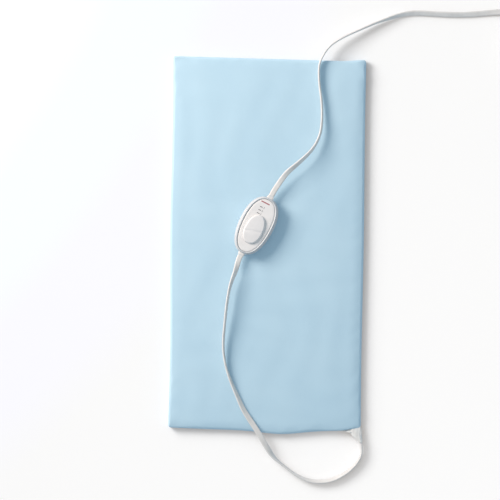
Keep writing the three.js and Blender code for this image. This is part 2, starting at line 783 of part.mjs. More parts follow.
const controllerBase = padTop + FIT;
const lidInset = GROOVE_INSET + FIT;
const lidShoulder = CASE_RIM_HEIGHT - GROOVE_DEPTH;
const lidInside = LID_TOP - LID_WALL;
const travel = SETTING_STEP * SETTING_COUNT;
const slideRest = -travel / 2;
const contactBottom = BOARD_HEIGHT + BOARD_THICKNESS + FIT;
const wiperBottom = contactBottom + CONTACT_THICKNESS + FIT;
const carriageBottom = wiperBottom + CONTACT_THICKNESS + FIT;
const carriageTop = lidInside - FIT;
const sliderBottom = LID_TOP + FIT;
const caseEnd = CASE_LENGTH / 2;
const grommetInner = caseEnd - GROMMET_FLANGE_SETBACK - GROMMET_FLANGE_LENGTH;
const grommetOuter = caseEnd + GROMMET_LENGTH_OUTSIDE;
const contactEnd = BOARD_LENGTH / 2 + CONTACT_OVERHANG;
const circuitBarX = CARRIAGE_WIDTH / 2 - CONTACT_BAR_WIDTH / 2;

function signedPower(value, power) {
  return Math.sign(value) * Math.abs(value) ** power;
}

// Egg outline: a blunt ellipse, narrower by its taper towards +Y.
function eggOutline(length, width, bluntness, taper, sides) {
  const points = [];
  for (let side = 0; side < sides; side += 1) {
    const angle = (2 * Math.PI * side) / sides;
    const across = signedPower(Math.cos(angle), 2 / bluntness);
    const along = signedPower(Math.sin(angle), 2 / bluntness);
    points.push(new THREE.Vector2(width / 2 * across * (1 - taper * along), length / 2 * along));
  }
  return points;
}

function caseOutline(inset) {
  return eggOutline(CASE_LENGTH - 2 * inset, CASE_WIDTH - 2 * inset, CASE_BLUNTNESS, CASE_TAPER, CASE_SIDES);
}

function caseLoft(profile) {
  return loft(profile.map(([inset, height]) => level(caseOutline(inset), height)));
}

function grommetHole(end) {
  return block(
    [-GROMMET_SHANK_WIDTH / 2 - FIT, Math.min(end * grommetInner, end * grommetOuter),
      GROMMET_HEIGHT - GROMMET_SHANK_HEIGHT / 2 - FIT],
    [GROMMET_SHANK_WIDTH / 2 + FIT, Math.max(end * grommetInner, end * grommetOuter),
      GROMMET_HEIGHT + GROMMET_SHANK_HEIGHT / 2 + FIT],
  );
}

const springBack = BOARD_WIDTH / 2 + FIT;
const springFront = springBack - SPRING_THICKNESS;
const springMiddle = (carriageBottom + carriageTop) / 2;

function addCase(controller) {
  const outer = caseLoft([
    ...roundedEdge([CASE_FOOT_INSET, 0], [0, CASE_WAIST_HEIGHT], [CASE_RIM_INSET, CASE_RIM_HEIGHT]),
    [GROOVE_INSET, lidShoulder],
  ]);
  const inner = caseLoft([
    ...roundedEdge(
      [CASE_FOOT_INSET + CASE_WALL / 2, CASE_WALL],
      [CASE_WALL, CASE_WAIST_HEIGHT],
      [GROOVE_INSET, lidShoulder - CASE_RIM_WALL],
    ),
    [GROOVE_INSET, CASE_RIM_HEIGHT],
  ]);
  const shell = cut(outer, inner);
  const standing = [];
  for (const side of [-1, 1]) {
    standing.push(post(side * BOSS_X, 0, BOSS_RADIUS, CASE_WALL / 2, BOSS_SPLIT - FIT));
    const springPostX = springBack + FIT;
    const springPostY = side * (SPRING_LENGTH - SPRING_POST_LENGTH) / 2;
    const springTop = springMiddle + SPRING_HEIGHT / 2;
    standing.push(block(
      [springPostX, springPostY - SPRING_POST_LENGTH / 2, CASE_WALL / 2],
      [springPostX + SPRING_POST_THICKNESS, springPostY + SPRING_POST_LENGTH / 2, springTop],
    ));
    for (const end of [-1, 1]) {
      const postX = side * (BOARD_WIDTH / 2 - POST_INSET);
      const boardY = end * (BOARD_LENGTH / 2 - POST_INSET);
      standing.push(post(postX, boardY, POST_RADIUS, CASE_WALL / 2, BOARD_HEIGHT - FIT, POST_SIDES));
    }
  }
  const holes = [grommetHole(1), grommetHole(-1)];
  for (const side of [-1, 1]) {
    const headTop = SCREW_HEAD_SINK + SCREW_HEAD_HEIGHT;
    holes.push(post(side * BOSS_X, 0, SCREW_HEAD_RADIUS + FIT, -OVERCUT, headTop + FIT));
    holes.push(post(side * BOSS_X, 0, SCREW_RADIUS + FIT, -OVERCUT, BOSS_SPLIT));
  }
  addPiece(controller, 'controller_case', cut(join(shell, ...standing), ...holes), finishes.whitePlastic);
}

function addLid(controller) {
  const panel = (inset, low, shoulder, top) => caseLoft([
    [inset, low],
    ...upperEdge([inset, shoulder], [inset + LID_EDGE, top]),
  ]);
  const skirt = lidShoulder - LID_SKIRT;
  const hollow = panel(lidInset + LID_WALL, skirt - OVERCUT, skirt, lidInside);
  const shell = cut(panel(lidInset, skirt, lidShoulder, LID_TOP), hollow);
  const bossTop = lidShoulder + LID_SKIRT;
  const holeTop = SCREW_HEAD_SINK + SCREW_LENGTH + FIT;
  const bosses = [-1, 1].map((side) => post(side * BOSS_X, 0, LID_BOSS_RADIUS, BOSS_SPLIT, bossTop));
  const screwHoles = [-1, 1].map((side) => (
    post(side * BOSS_X, 0, SCREW_RADIUS + FIT, BOSS_SPLIT - OVERCUT, holeTop)
  ));
  const slotReach = [NECK_WIDTH / 2 + FIT, (NECK_LENGTH + travel) / 2 + FIT];
  const slot = block(
    [-slotReach[0], -slotReach[1], lidInside - OVERCUT],
    [slotReach[0], slotReach[1], LID_TOP + OVERCUT],
  );
  const lid = cut(join(shell, ...bosses), slot, ...screwHoles);
  addPiece(controller, 'controller_lid', lid, finishes.whitePlastic);
}

// The slider's outline is a smaller egg, set ahead of its neck.
function sliderOutline(inset) {
  const length = SLIDER_LENGTH - 2 * inset;
  const width = SLIDER_WIDTH - 2 * inset;
  const middle = new THREE.Vector2(0, slideRest + SLIDER_AHEAD);
  return eggOutline(length, width, SLIDER_BLUNTNESS, SLIDER_TAPER, SLIDER_SIDES).map((p) => p.add(middle));
}

function addSwitch(controller) {
  const profile = upperEdge([0, sliderBottom], [SLIDER_EDGE, sliderBottom + SLIDER_HEIGHT]);
  const button = loft(profile.map(([inset, height]) => level(sliderOutline(inset), height)));
  const neckBottom = carriageTop - NECK_DEPTH;
  const neck = block(
    [-NECK_WIDTH / 2, slideRest - NECK_LENGTH / 2, neckBottom],
    [NECK_WIDTH / 2, slideRest + NECK_LENGTH / 2, sliderBottom + SLIDER_HEIGHT / 2],
  );
  const gripHeight = sliderBottom + SLIDER_HEIGHT + GRIP_RADIUS - GRIP_DEPTH;
  const grip = new THREE.CylinderGeometry(GRIP_RADIUS, GRIP_RADIUS, 2 * SLIDER_WIDTH, GRIP_SIDES)
    .rotateZ(Math.PI / 2)
    .translate(0, slideRest - GRIP_BACK, gripHeight);
  addPiece(controller, 'thumb_slider', cut(join(button, neck), grip), finishes.whitePlastic);

  const half = CARRIAGE_WIDTH / 2;
  const reach = travel / 2 + CARRIAGE_MARGIN;
  const side = [[-half, slideRest + reach], [-half, slideRest - reach], [half, slideRest - reach]];
  for (let setting = 0; setting <= SETTING_COUNT; setting += 1) {
    const middle = slideRest - travel / 2 + setting * SETTING_STEP;
    side.push(
      [half, middle - NOTCH_WIDTH / 2],
      [half - NOTCH_DEPTH, middle],
      [half, middle + NOTCH_WIDTH / 2],
    );
  }
  side.push([half, slideRest + reach]);
  const socket = block(
    [-NECK_WIDTH / 2 - FIT, slideRest - NECK_LENGTH / 2 - FIT, neckBottom - FIT],
    [NECK_WIDTH / 2 + FIT, slideRest + NECK_LENGTH / 2 + FIT, carriageTop + OVERCUT],
  );
  const carriage = cut(plate(polygon(side), carriageBottom, carriageTop), socket);
  addPiece(controller, 'slide_carriage', carriage, finishes.innerPlastic);

  const wiperReach = circuitBarX - CONTACT_BAR_WIDTH / 2 - FIT;
  const wiper = block(
    [-wiperReach, slideRest - WIPER_LENGTH / 2, wiperBottom],
    [wiperReach, slideRest + WIPER_LENGTH / 2, wiperBottom + CONTACT_THICKNESS],
  );
  addPiece(controller, 'moving_contact', wiper, finishes.brass);
}

// Middle of the moving contact at a setting, 0 for off.
function settingPlace(setting) {
  return slideRest + setting * SETTING_STEP;
}

// A contact strip at the side of the board, with a tooth at each place where the moving contact touches it.
function circuitContact(side, teeth) {
  const inner = circuitBarX - CONTACT_BAR_WIDTH / 2;
  const outer = circuitBarX + CONTACT_BAR_WIDTH / 2;
  const tooth = CONTACT_TOOTH_LENGTH / 2;
  const points = [[outer, -contactEnd], [outer, settingPlace(SETTING_COUNT) + tooth]];
  for (const [first, last] of teeth) {
    points.push(
      [inner, settingPlace(last) + tooth],
      [inner - CONTACT_TOOTH_REACH, settingPlace(last) + tooth],
      [inner - CONTACT_TOOTH_REACH, settingPlace(first) - tooth],
      [inner, settingPlace(first) - tooth],
    );
  }
  points.push([inner, -contactEnd]);
  const outline = points.map(([x, y]) => [side * x, y]);
  return plate(polygon(outline), contactBottom, contactBottom + CONTACT_THICKNESS);
}

function addContacts(controller) {
  const board = roundedRectangle(BOARD_WIDTH, BOARD_LENGTH, BOARD_CORNER_RADIUS);
  const boardRings = [BOARD_HEIGHT, BOARD_HEIGHT + BOARD_THICKNESS].map((height) => level(board, height));
  addPiece(controller, 'contact_board', loft(boardRings), finishes.board);
  const common = block(
    [-COMMON_WIDTH / 2, slideRest - WIPER_LENGTH, contactBottom],
    [COMMON_WIDTH / 2, contactEnd, contactBottom + CONTACT_THICKNESS],
  );
  addPiece(controller, 'contact_common', common, finishes.brass);
  addPiece(controller, 'contact_circuit_a', circuitContact(-1, [[3, 3], [1, 1]]), finishes.brass);
  addPiece(controller, 'contact_circuit_b', circuitContact(1, [[2, 3]]), finishes.brass);

  const half = SPRING_LENGTH / 2;
  const bumpHalf = NOTCH_WIDTH / 2 + SPRING_THICKNESS;
  const tip = springFront - SPRING_BUMP;
  const leaf = polygon([
    [springFront, -half], [springBack, -half], [springBack, -bumpHalf], [tip + SPRING_THICKNESS, 0],
    [springBack, bumpHalf], [springBack, half], [springFront, half], [springFront, bumpHalf],
    [tip, 0], [springFront, -bumpHalf],
  ]);
  const spring = plate(leaf, springMiddle - SPRING_HEIGHT / 2, springMiddle + SPRING_HEIGHT / 2);
  addPiece(controller, 'detent_spring', spring, finishes.steel);
}

function addScrews(controller) {
  const headTop = SCREW_HEAD_SINK + SCREW_HEAD_HEIGHT;
  const top = SCREW_HEAD_SINK + SCREW_LENGTH;
  const profile = [
    [0, SCREW_HEAD_SINK], [SCREW_HEAD_RADIUS, SCREW_HEAD_SINK], [SCREW_HEAD_RADIUS, headTop],
    [SCREW_RADIUS, headTop], [SCREW_RADIUS, top - SCREW_RADIUS], [0, top],
  ].map(([radius, height]) => new THREE.Vector2(radius, height));
  for (const [place, side] of [-1, 1].entries()) {
    const screw = new THREE.LatheGeometry(profile, SCREW_SIDES).rotateX(Math.PI / 2);
    addPiece(controller, `case_screw_${place + 1}`, screw.translate(side * BOSS_X, 0, 0), finishes.steel);
  }
}

// Grommet in one end of the case: a flange inside, a shank through the wall and a short taper outside.
function addGrommet(controller, name, end) {
  const sections = [
    [grommetInner, GROMMET_FLANGE_WIDTH, GROMMET_FLANGE_HEIGHT],
    [grommetInner + GROMMET_FLANGE_LENGTH, GROMMET_FLANGE_WIDTH, GROMMET_FLANGE_HEIGHT],
    [grommetInner + GROMMET_FLANGE_LENGTH, GROMMET_SHANK_WIDTH, GROMMET_SHANK_HEIGHT],
    [caseEnd, GROMMET_SHANK_WIDTH, GROMMET_SHANK_HEIGHT],
    [grommetOuter, GROMMET_SHANK_WIDTH - 2 * GROMMET_TAPER, GROMMET_SHANK_HEIGHT - 2 * GROMMET_TAPER],
  ];
  const rings = sections.map(([y, width, height]) => roundedRectangle(width, height, height / 4)
    .map((p) => new THREE.Vector3(-end * p.x, end * y, GROMMET_HEIGHT + p.y)));
  addPiece(controller, name, loft(rings), finishes.cord);
}

function addInnerWire(controller, name, places) {
  const points = places.map((place) => new THREE.Vector3(...place));
  const path = new THREE.CatmullRomCurve3(points).getPoints(INNER_WIRE_STEPS * (points.length - 1));
  addPiece(controller, name, sweep(roundSection(INNER_WIRE_DIAMETER), stationsAlong(path)), finishes.wire);
}

function addInnerWires(controller) {
  const root = grommetInner - FIT;
  const end = contactEnd + FIT;
  const contactMiddle = contactBottom + CONTACT_THICKNESS / 2;
  const split = GROMMET_FLANGE_WIDTH / 4;
  const low = GROMMET_HEIGHT - GROMMET_FLANGE_HEIGHT / 4;
  addInnerWire(controller, 'live_wire', [
    [split, root, GROMMET_HEIGHT],
    [split / 2, (root + end) / 2, (GROMMET_HEIGHT + contactMiddle) / 2],
    [0, end, contactMiddle],
  ]);
  const under = BOARD_WIDTH / 2 - POST_INSET - POST_RADIUS - INNER_WIRE_DIAMETER;
  addInnerWire(controller, 'neutral_wire', [
    [-split, root, low],
    [-under, BOARD_LENGTH / 2 - POST_INSET, NEUTRAL_HEIGHT],
    [-under, POST_INSET - BOARD_LENGTH / 2, NEUTRAL_HEIGHT],
    [0, -root, low],
  ]);
  for (const [name, side] of [['circuit_a_wire', -1], ['circuit_b_wire', 1]]) {
    addInnerWire(controller, name, [
      [side * circuitBarX, -end, contactMiddle],
      [side * (circuitBarX + split) / 2, -(root + end) / 2, (GROMMET_HEIGHT + contactMiddle) / 2],
      [side * split, -root, GROMMET_HEIGHT],
    ]);
  }
}

// The controller's own frame in the model's.
const controllerTurn = -THREE.MathUtils.degToRad(CONTROLLER_TURN);

function fromController(x, y, z) {
  return new THREE.Vector3(x, y, z)
    .applyAxisAngle(new THREE.Vector3(0, 0, 1), controllerTurn)
    .add(new THREE.Vector3(CONTROLLER_X, CONTROLLER_Y, controllerBase));
}

function addController() {
  const controller = new THREE.Group();
  addCase(controller);
  addLid(controller);
  addSwitch(controller);
  addContacts(controller);
  addScrews(controller);
  addGrommet(controller, 'supply_cord_grommet', 1);
  addGrommet(controller, 'lead_cord_grommet', -1);
  addInnerWires(controller);
  controller.position.set(CONTROLLER_X, CONTROLLER_Y, controllerBase);
  controller.rotation.z = controllerTurn;
  model.add(controller);
}

// Cords, coil, strap and plug.

function routePoints(route, base) {
  return route.map(([x, y, height]) => new THREE.Vector3(x, y, base + height));
}

function routeRolls(route) {
  return route.map((row) => row[3]);
}

const controllerAxis = fromController(0, 1, 0).sub(fromController(0, 0, 0));

function addLead() {
  const start = reliefNose.clone().add(new THREE.Vector3(0, -FIT, 0));
  const end = fromController(0, -grommetOuter - FIT, GROMMET_HEIGHT);
  const points = [start, ...routePoints(LEAD_ON_FLOOR, 0), ...routePoints(LEAD_ON_PAD, padTop), end];
  const rolls = [ON_EDGE, ...routeRolls(LEAD_ON_FLOOR), ...routeRolls(LEAD_ON_PAD), 0];
  const stations = stationsAlong(points, rolls, new THREE.Vector3(0, -1, 0), controllerAxis);
  addPiece(model, 'pad_lead', sweep(cordSection(), stations), finishes.cord);
}

const coilLow = STRAP_THICKNESS + STRAP_SLACK + FIT + CORD_WIDTH / 2;
const coilHigh = coilLow + CORD_WIDTH + COIL_LAYER_GAP;
const coilEntry = new THREE.Vector3(COIL_CENTRE_X - CORD_WIDTH, COIL_CENTRE_Y + COIL_OUTER_RADIUS, coilLow);
const coilExit = new THREE.Vector3(COIL_CENTRE_X + COIL_OUTER_RADIUS, COIL_CENTRE_Y - CORD_WIDTH, coilHigh);

function addSupply() {
  const start = fromController(0, grommetOuter + FIT, GROMMET_HEIGHT);
  const end = coilEntry.clone().add(new THREE.Vector3(-FIT, 0, 0));
  const points = [start, ...routePoints(SUPPLY_ON_PAD, padTop), ...routePoints(SUPPLY_ON_FLOOR, 0), end];
  const rolls = [0, ...routeRolls(SUPPLY_ON_PAD), ...routeRolls(SUPPLY_ON_FLOOR), -ON_EDGE];
  const stations = stationsAlong(points, rolls, controllerAxis, new THREE.Vector3(1, 0, 0));
  addPiece(model, 'supply_cord', sweep(cordSection(), stations), finishes.cord);
}

// The coil winds clockwise from its top: in at a steady rate on the lower layer, out again on the upper,
// with the climb where the spiral reverses.
function coilPoints() {
  const points = [coilEntry];
  const count = Math.round(COIL_TURNS * COIL_STEPS_PER_TURN);
  for (let step = 0; step <= count; step += 1) {
    const turns = step / COIL_STEPS_PER_TURN;
    const fromReverse = turns - COIL_TURNS / 2;
    const radius = COIL_OUTER_RADIUS - COIL_PITCH * (COIL_TURNS / 2 - Math.abs(fromReverse));
    const angle = Math.PI / 2 - 2 * Math.PI * turns;
    const climb = THREE.MathUtils.smoothstep(fromReverse, -COIL_CLIMB_TURNS / 2, COIL_CLIMB_TURNS / 2);
    points.push(new THREE.Vector3(
      COIL_CENTRE_X + radius * Math.cos(angle),
      COIL_CENTRE_Y + radius * Math.sin(angle),
      THREE.MathUtils.lerp(coilLow, coilHigh, climb),
    ));
  }
  points.push(coilExit);
  return points;
}

// Least clear distance between turns that pass each other, on the points of the coil.
function leastGap(points) {
  let least = Infinity;
  points.forEach((point, place) => {
    for (const other of points.slice(place + COIL_STEPS_PER_TURN / 2)) {
      const beside = Math.hypot(point.x - other.x, point.y - other.y) - CORD_THICKNESS;
      const above = Math.abs(point.z - other.z) - CORD_WIDTH;
      least = Math.min(least, Math.max(beside, above));
    }
  });
  return least;
}

function addCoil() {
  const points = coilPoints();
  console.log(`supply_cord_coil least gap to itself ${leastGap(points).toFixed(2)} mm`);
  const stations = stationsAlong(
    points,
    points.map(() => ON_EDGE),
    new THREE.Vector3(1, 0, 0),
    new THREE.Vector3(0, -1, 0),
  );
  addPiece(model, 'supply_cord_coil', sweep(coilSection(), stations), finishes.cord);
}

// Strap round all the turns at one place of the coil.
function addStrap() {
  const inner = COIL_OUTER_RADIUS - COIL_PITCH * COIL_TURNS / 2 - CORD_THICKNESS / 2 - STRAP_SLACK;
  const outer = COIL_OUTER_RADIUS + CORD_THICKNESS / 2 + STRAP_SLACK;
  const low = coilLow - CORD_WIDTH / 2 - STRAP_SLACK;
  const high = coilHigh + CORD_WIDTH / 2 + STRAP_SLACK;
  const width = outer - inner;
  const height = high - low;
  const wall = 2 * STRAP_THICKNESS;
  const shape = new THREE.Shape(roundedRectangle(width + wall, height + wall, STRAP_CORNER_RADIUS));
  const holeRadius = STRAP_CORNER_RADIUS - STRAP_THICKNESS;
  shape.holes.push(new THREE.Path(roundedRectangle(width, height, holeRadius).reverse()));
  const strap = plate(shape, -STRAP_WIDTH / 2, STRAP_WIDTH / 2)
    .rotateX(Math.PI / 2)
    .translate((inner + outer) / 2, 0, (low + high) / 2)
    .rotateZ(THREE.MathUtils.degToRad(STRAP_ANGLE))
    .translate(COIL_CENTRE_X, COIL_CENTRE_Y, 0);
  addPiece(model, 'cord_strap', strap, finishes.strap);
}

function addTail() {
  const start = coilExit.clone().add(new THREE.Vector3(0, -FIT, 0));
  const end = new THREE.Vector3(...TAIL_END, PLUG_HEIGHT);
  const points = [start, ...routePoints(TAIL_ON_FLOOR, 0), end];
  const rolls = [-ON_EDGE, ...routeRolls(TAIL_ON_FLOOR), -HALF_TURN];
  const away = new THREE.Vector3(0, -1, 0);
  const stations = stationsAlong(points, rolls, away, away);
  addPiece(model, 'supply_cord_tail', sweep(cordSection(), stations), finishes.cord);
}

// Plug, in its own frame: -Y towards the blades, from the end of the cord.
function addPlug() {
  const plug = new THREE.Group();
  const ring = (y, width, height) => roundedRectangle(width, height, height / 3)
    .map((p) => new THREE.Vector3(p.x, y, p.y));
  const reliefRings = [];
  const wall = 2 * PLUG_RELIEF_WALL;
  for (let step = 0; step <= 2 * PLUG_RIB_COUNT; step += 1) {
    const share = step / (2 * PLUG_RIB_COUNT);
    const groove = step % 2 === 0 ? 0 : 2 * PLUG_RIB_DEPTH;
    reliefRings.push(ring(
      -FIT - PLUG_RELIEF_LENGTH * share,
      THREE.MathUtils.lerp(CORD_WIDTH + wall, PLUG_RELIEF_WIDTH, share) - groove,
      THREE.MathUtils.lerp(CORD_THICKNESS + wall, PLUG_RELIEF_HEIGHT, share) - groove,
    ));
  }
  addPiece(plug, 'plug_strain_relief', loft(reliefRings), finishes.cord);

  const back = -FIT - PLUG_RELIEF_LENGTH - FIT;
  const face = back - PLUG_LENGTH;
  const shoulder = back - PLUG_LENGTH / 2;
  const backWidth = PLUG_RELIEF_WIDTH + 2 * PLUG_BACK_STEP;
  const backHeight = PLUG_RELIEF_HEIGHT + 2 * PLUG_BACK_STEP;
  const midWidth = (backWidth + PLUG_WIDTH) / 2 + PLUG_SWELL;
  const midHeight = (backHeight + PLUG_THICKNESS) / 2 + PLUG_SWELL;
  const body = loft([
    ring(back, backWidth, backHeight),
    ring((back + shoulder) / 2, midWidth, midHeight),
    ring(shoulder, PLUG_WIDTH, PLUG_THICKNESS),
    ring(face, PLUG_WIDTH, PLUG_THICKNESS),
  ]);
  const slots = [];
  const blades = [['plug_blade_live', 1, LIVE_BLADE_WIDTH], ['plug_blade_neutral', -1, NEUTRAL_BLADE_WIDTH]];
  for (const [name, side, width] of blades) {
    const x = side * BLADE_SPACING / 2;
    slots.push(block(
      [x - BLADE_THICKNESS / 2 - FIT, face - OVERCUT, -width / 2 - FIT],
      [x + BLADE_THICKNESS / 2 + FIT, face + BLADE_ROOT + FIT, width / 2 + FIT],
    ));
    const tip = face - BLADE_LENGTH;
    const half = width / 2;
    const outline = polygon([
      [face + BLADE_ROOT, -half], [face + BLADE_ROOT, half], [tip + BLADE_CHAMFER, half],
      [tip, half - BLADE_CHAMFER], [tip, BLADE_CHAMFER - half], [tip + BLADE_CHAMFER, -half],
    ]);
    const hole = new THREE.Path();
    hole.absarc(tip + BLADE_HOLE_FROM_TIP, 0, BLADE_HOLE_RADIUS, 0, 2 * Math.PI, true);
    outline.holes.push(hole);
    const blade = plate(outline, -BLADE_THICKNESS / 2, BLADE_THICKNESS / 2)
      .rotateX(Math.PI / 2)
      .rotateZ(Math.PI / 2)
      .translate(x, 0, 0);
    addPiece(plug, name, blade, finishes.brass);
  }
  addPiece(plug, 'plug_body', cut(body, ...slots), finishes.cord);
  plug.position.set(...TAIL_END, PLUG_HEIGHT);
  model.add(plug);
}

addPad();
addController();
addLead();
addSupply();
addCoil();
addStrap();
addTail();
addPlug();

export default model;
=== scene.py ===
# %% [markdown]
# # A heating pad with a slide controller
# The pad is a soft cloth pocket round a sealed heating layer. A flat cord runs from its corner to a small
# switch case that lies on it, and a second one from there to a plug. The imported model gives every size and
# place. This lesson gives each piece its cloth, vinyl or plastic, in the same frame: metres, +Z up, the pad
# on the floor at z = 0.

# %% Load the frame
import json

import bpy
import numpy as np
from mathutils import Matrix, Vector


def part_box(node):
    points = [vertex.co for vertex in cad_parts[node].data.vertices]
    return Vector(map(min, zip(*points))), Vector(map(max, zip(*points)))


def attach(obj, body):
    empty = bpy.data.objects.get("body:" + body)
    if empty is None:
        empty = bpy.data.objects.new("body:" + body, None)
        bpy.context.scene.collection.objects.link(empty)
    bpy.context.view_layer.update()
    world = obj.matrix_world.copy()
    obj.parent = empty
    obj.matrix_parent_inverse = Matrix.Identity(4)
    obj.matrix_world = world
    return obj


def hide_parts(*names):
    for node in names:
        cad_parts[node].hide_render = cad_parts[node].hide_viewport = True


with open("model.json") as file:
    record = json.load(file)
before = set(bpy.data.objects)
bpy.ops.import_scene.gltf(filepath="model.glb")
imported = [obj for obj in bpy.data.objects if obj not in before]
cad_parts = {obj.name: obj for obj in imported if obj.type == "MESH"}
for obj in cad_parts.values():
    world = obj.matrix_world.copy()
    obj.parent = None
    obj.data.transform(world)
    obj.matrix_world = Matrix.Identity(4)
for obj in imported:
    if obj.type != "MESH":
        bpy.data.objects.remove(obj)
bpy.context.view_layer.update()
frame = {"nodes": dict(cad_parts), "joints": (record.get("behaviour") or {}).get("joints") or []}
nodes = frame["nodes"]
MM = 0.001

# %% [markdown]
# ## Camera
# The picture looks straight down on the pad from far away, so the sides hardly show. A long lens high above
# gives that: the lens follows from the height and from how much floor the picture spans.


# %% Camera
CAMERA_HEIGHT = 2.6
CAMERA_X, CAMERA_Y, CAMERA_TURN = -0.0286, -0.0098, 0.0157
FLOOR_IN_VIEW = 0.82
SENSOR = 36.0


def into_scene(name, data):
    """A new object with this data, linked into the scene: at the origin, unturned and unscaled."""
    item = bpy.data.objects.new(name, data)
    bpy.context.scene.collection.objects.link(item)
    return item


camera = into_scene("camera", bpy.data.cameras.new("camera"))
camera.data.sensor_width = SENSOR
camera.data.lens = SENSOR * CAMERA_HEIGHT / FLOOR_IN_VIEW
camera.location = (CAMERA_X, CAMERA_Y, CAMERA_HEIGHT)
camera.rotation_euler = (0, 0, CAMERA_TURN)
bpy.context.scene.camera = camera
print("lens", round(camera.data.lens, 1), "mm")

# %% [markdown]
# ## Small tools for finishes
# Every finish here is a shader with a few texture nodes. A colour is written as it looks on a screen and
# turned into the linear values that a shader works with. One helper adds a node and joins its sockets.


# %% Finish tools
def paint(red, green, blue):
    """A screen colour, 0 to 255, as linear values: the lower part is a line, the rest a power of 2.4."""
    share = np.array([red, green, blue]) / 255
    linear = np.where(share <= 0.04045, share / 12.92, ((share + 0.055) / 1.055) ** 2.4)
    return (*linear.tolist(), 1.0)


def new_finish(name, **constants):
    """A material whose shader sockets take these constants, with _ for a space in a socket's name."""
    material = bpy.data.materials.new(name + "_finish")
    material.use_nodes = True
    shader = material.node_tree.nodes["Principled BSDF"]
    for socket, value in constants.items():
        shader.inputs[socket.replace("_", " ")].default_value = value
    return material, material.node_tree, shader


def add_node(tree, kind, inputs, **settings):
    """A node with its settings, whose inputs are joined to sockets or set to numbers."""
    node = tree.nodes.new("ShaderNode" + kind)
    for setting, value in settings.items():
        setattr(node, setting, value)
    for socket, value in inputs.items():
        if isinstance(value, bpy.types.NodeSocket):
            tree.links.new(value, node.inputs[socket])
        else:
            node.inputs[socket].default_value = value
    return node


def two_tones(tree, factor, dark, light, low=0.3, high=0.7):
    """A colour that runs from dark to light as the factor goes from low to high."""
    ramp = add_node(tree, "ValToRGB", {"Fac": factor})
    for stop, place, colour in zip(ramp.color_ramp.elements, (low, high), (dark, light)):
        stop.position = place
        stop.color = colour
    return ramp.outputs["Color"]


# %% [markdown]
# ## Moulded and felted finishes
# White plastic, cord vinyl, felt, brass and steel differ in colour and gloss, but are built alike: two close
# tones in soft patches, a gloss that wanders with the patches, and a fine grain in the surface. So one
# function makes them all. The patterns lie on Object coordinates, in metres, and need no unwrapping.


# %% Grained finishes
def grained(name, dark, light, roughness, patch, grain, depth, **constants):
    """Two screen colours in patches of patch metres, and grains of grain metres that rise by depth.

    The gloss runs from a tenth under the roughness to a tenth over it, with the patches.
    """
    material, tree, shader = new_finish(name, **constants)
    place = add_node(tree, "TexCoord", {}).outputs["Object"]
    cloud = add_node(tree, "TexNoise", {"Vector": place, "Scale": 1 / patch, "Detail": 3.0}).outputs["Fac"]
    grit = add_node(tree, "TexNoise", {"Vector": place, "Scale": 1 / grain, "Detail": 2.0}).outputs["Fac"]
    gloss = add_node(tree, "MapRange", {
        "Value": cloud, "From Min": 0.3, "From Max": 0.7,
        "To Min": roughness * 0.9, "To Max": roughness * 1.1,
    })
    bump = add_node(tree, "Bump", {"Height": grit, "Distance": depth})
    tree.links.new(two_tones(tree, cloud, paint(*dark), paint(*light)), shader.inputs["Base Color"])
    tree.links.new(gloss.outputs["Result"], shader.inputs["Roughness"])
    tree.links.new(bump.outputs["Normal"], shader.inputs["Normal"])
    return material


case_plastic = grained("case_plastic", (228, 225, 224), (234, 232, 231), 0.38, 0.02, 0.0004, 1.2e-5)
# The shell's plastic is a greyer copy of the lid's white: a painted shade that tones down its lit flanks.
shell_plastic_painted_shade = grained("shell_plastic_painted_shade", (200, 202, 205), (207, 209, 212), 0.5, 0.02, 0.0004, 1.2e-5)
slider_plastic = grained("slider_plastic", (224, 222, 222), (230, 228, 228), 0.42, 0.015, 0.0003, 1.5e-5)
cord_vinyl = grained("cord_vinyl", (221, 217, 214), (231, 228, 225), 0.45, 0.012, 0.0006, 2e-5)
bag_vinyl = grained("bag_vinyl", (224, 222, 219), (238, 237, 235), 0.3, 0.008, 0.0015, 8e-5)
felt = grained("felt", (205, 199, 184), (222, 217, 204), 0.95, 0.01, 0.0008, 2e-4, Sheen_Weight=0.3)
heating_wire = grained("heating_wire", (206, 190, 158), (222, 208, 180), 0.55, 0.02, 0.0004, 3e-5)
hook_up_wire = grained("hook_up_wire", (214, 206, 190), (230, 224, 212), 0.45, 0.01, 0.0004, 2e-5)
thermostat = grained("thermostat", (46, 42, 40), (66, 60, 56), 0.5, 0.006, 0.0004, 3e-5)
inner_plastic = grained("inner_plastic", (70, 74, 80), (86, 90, 96), 0.5, 0.008, 0.0004, 2e-5)
board = grained("board", (128, 98, 56), (150, 117, 70), 0.6, 0.005, 0.0005, 2e-5)
brass = grained("brass", (196, 158, 84), (214, 178, 104), 0.32, 0.004, 0.0003, 6e-6, Metallic=1.0)
steel = grained("steel", (176, 178, 182), (196, 198, 202), 0.3, 0.004, 0.0003, 6e-6, Metallic=1.0)
strap_cloth = grained("strap", (232, 230, 226), (243, 241, 238), 0.7, 0.006, 0.0007, 6e-5)
red_print = grained("red_print", (158, 92, 97), (174, 108, 112), 0.45, 0.003, 0.0003, 4e-6)
grey_print = grained("grey_print", (106, 106, 108), (122, 122, 124), 0.45, 0.003, 0.0003, 4e-6)
print("finishes:", len(bpy.data.materials))

# %% [markdown]
# ## Skins
# Most pieces are closed skins: rings of points, one after the other, whose two ends are closed with a fan of
# triangles, or rings that come back to the first. The points come as one array of rows, columns and x, y, z,
# so the faces follow from counting. The volume's sign tells if the faces point outwards.


# %% Skin tools
def power(value, exponent):
    """A power that keeps the sign, for the sides of a blunt ellipse."""
    return np.sign(value) * np.abs(value) ** exponent


def bell(value, middle, width):
    """One at the middle, less on both sides: e to the power of less the square of the widths away from it."""
    return np.exp(-((value - middle) / width) ** 2)


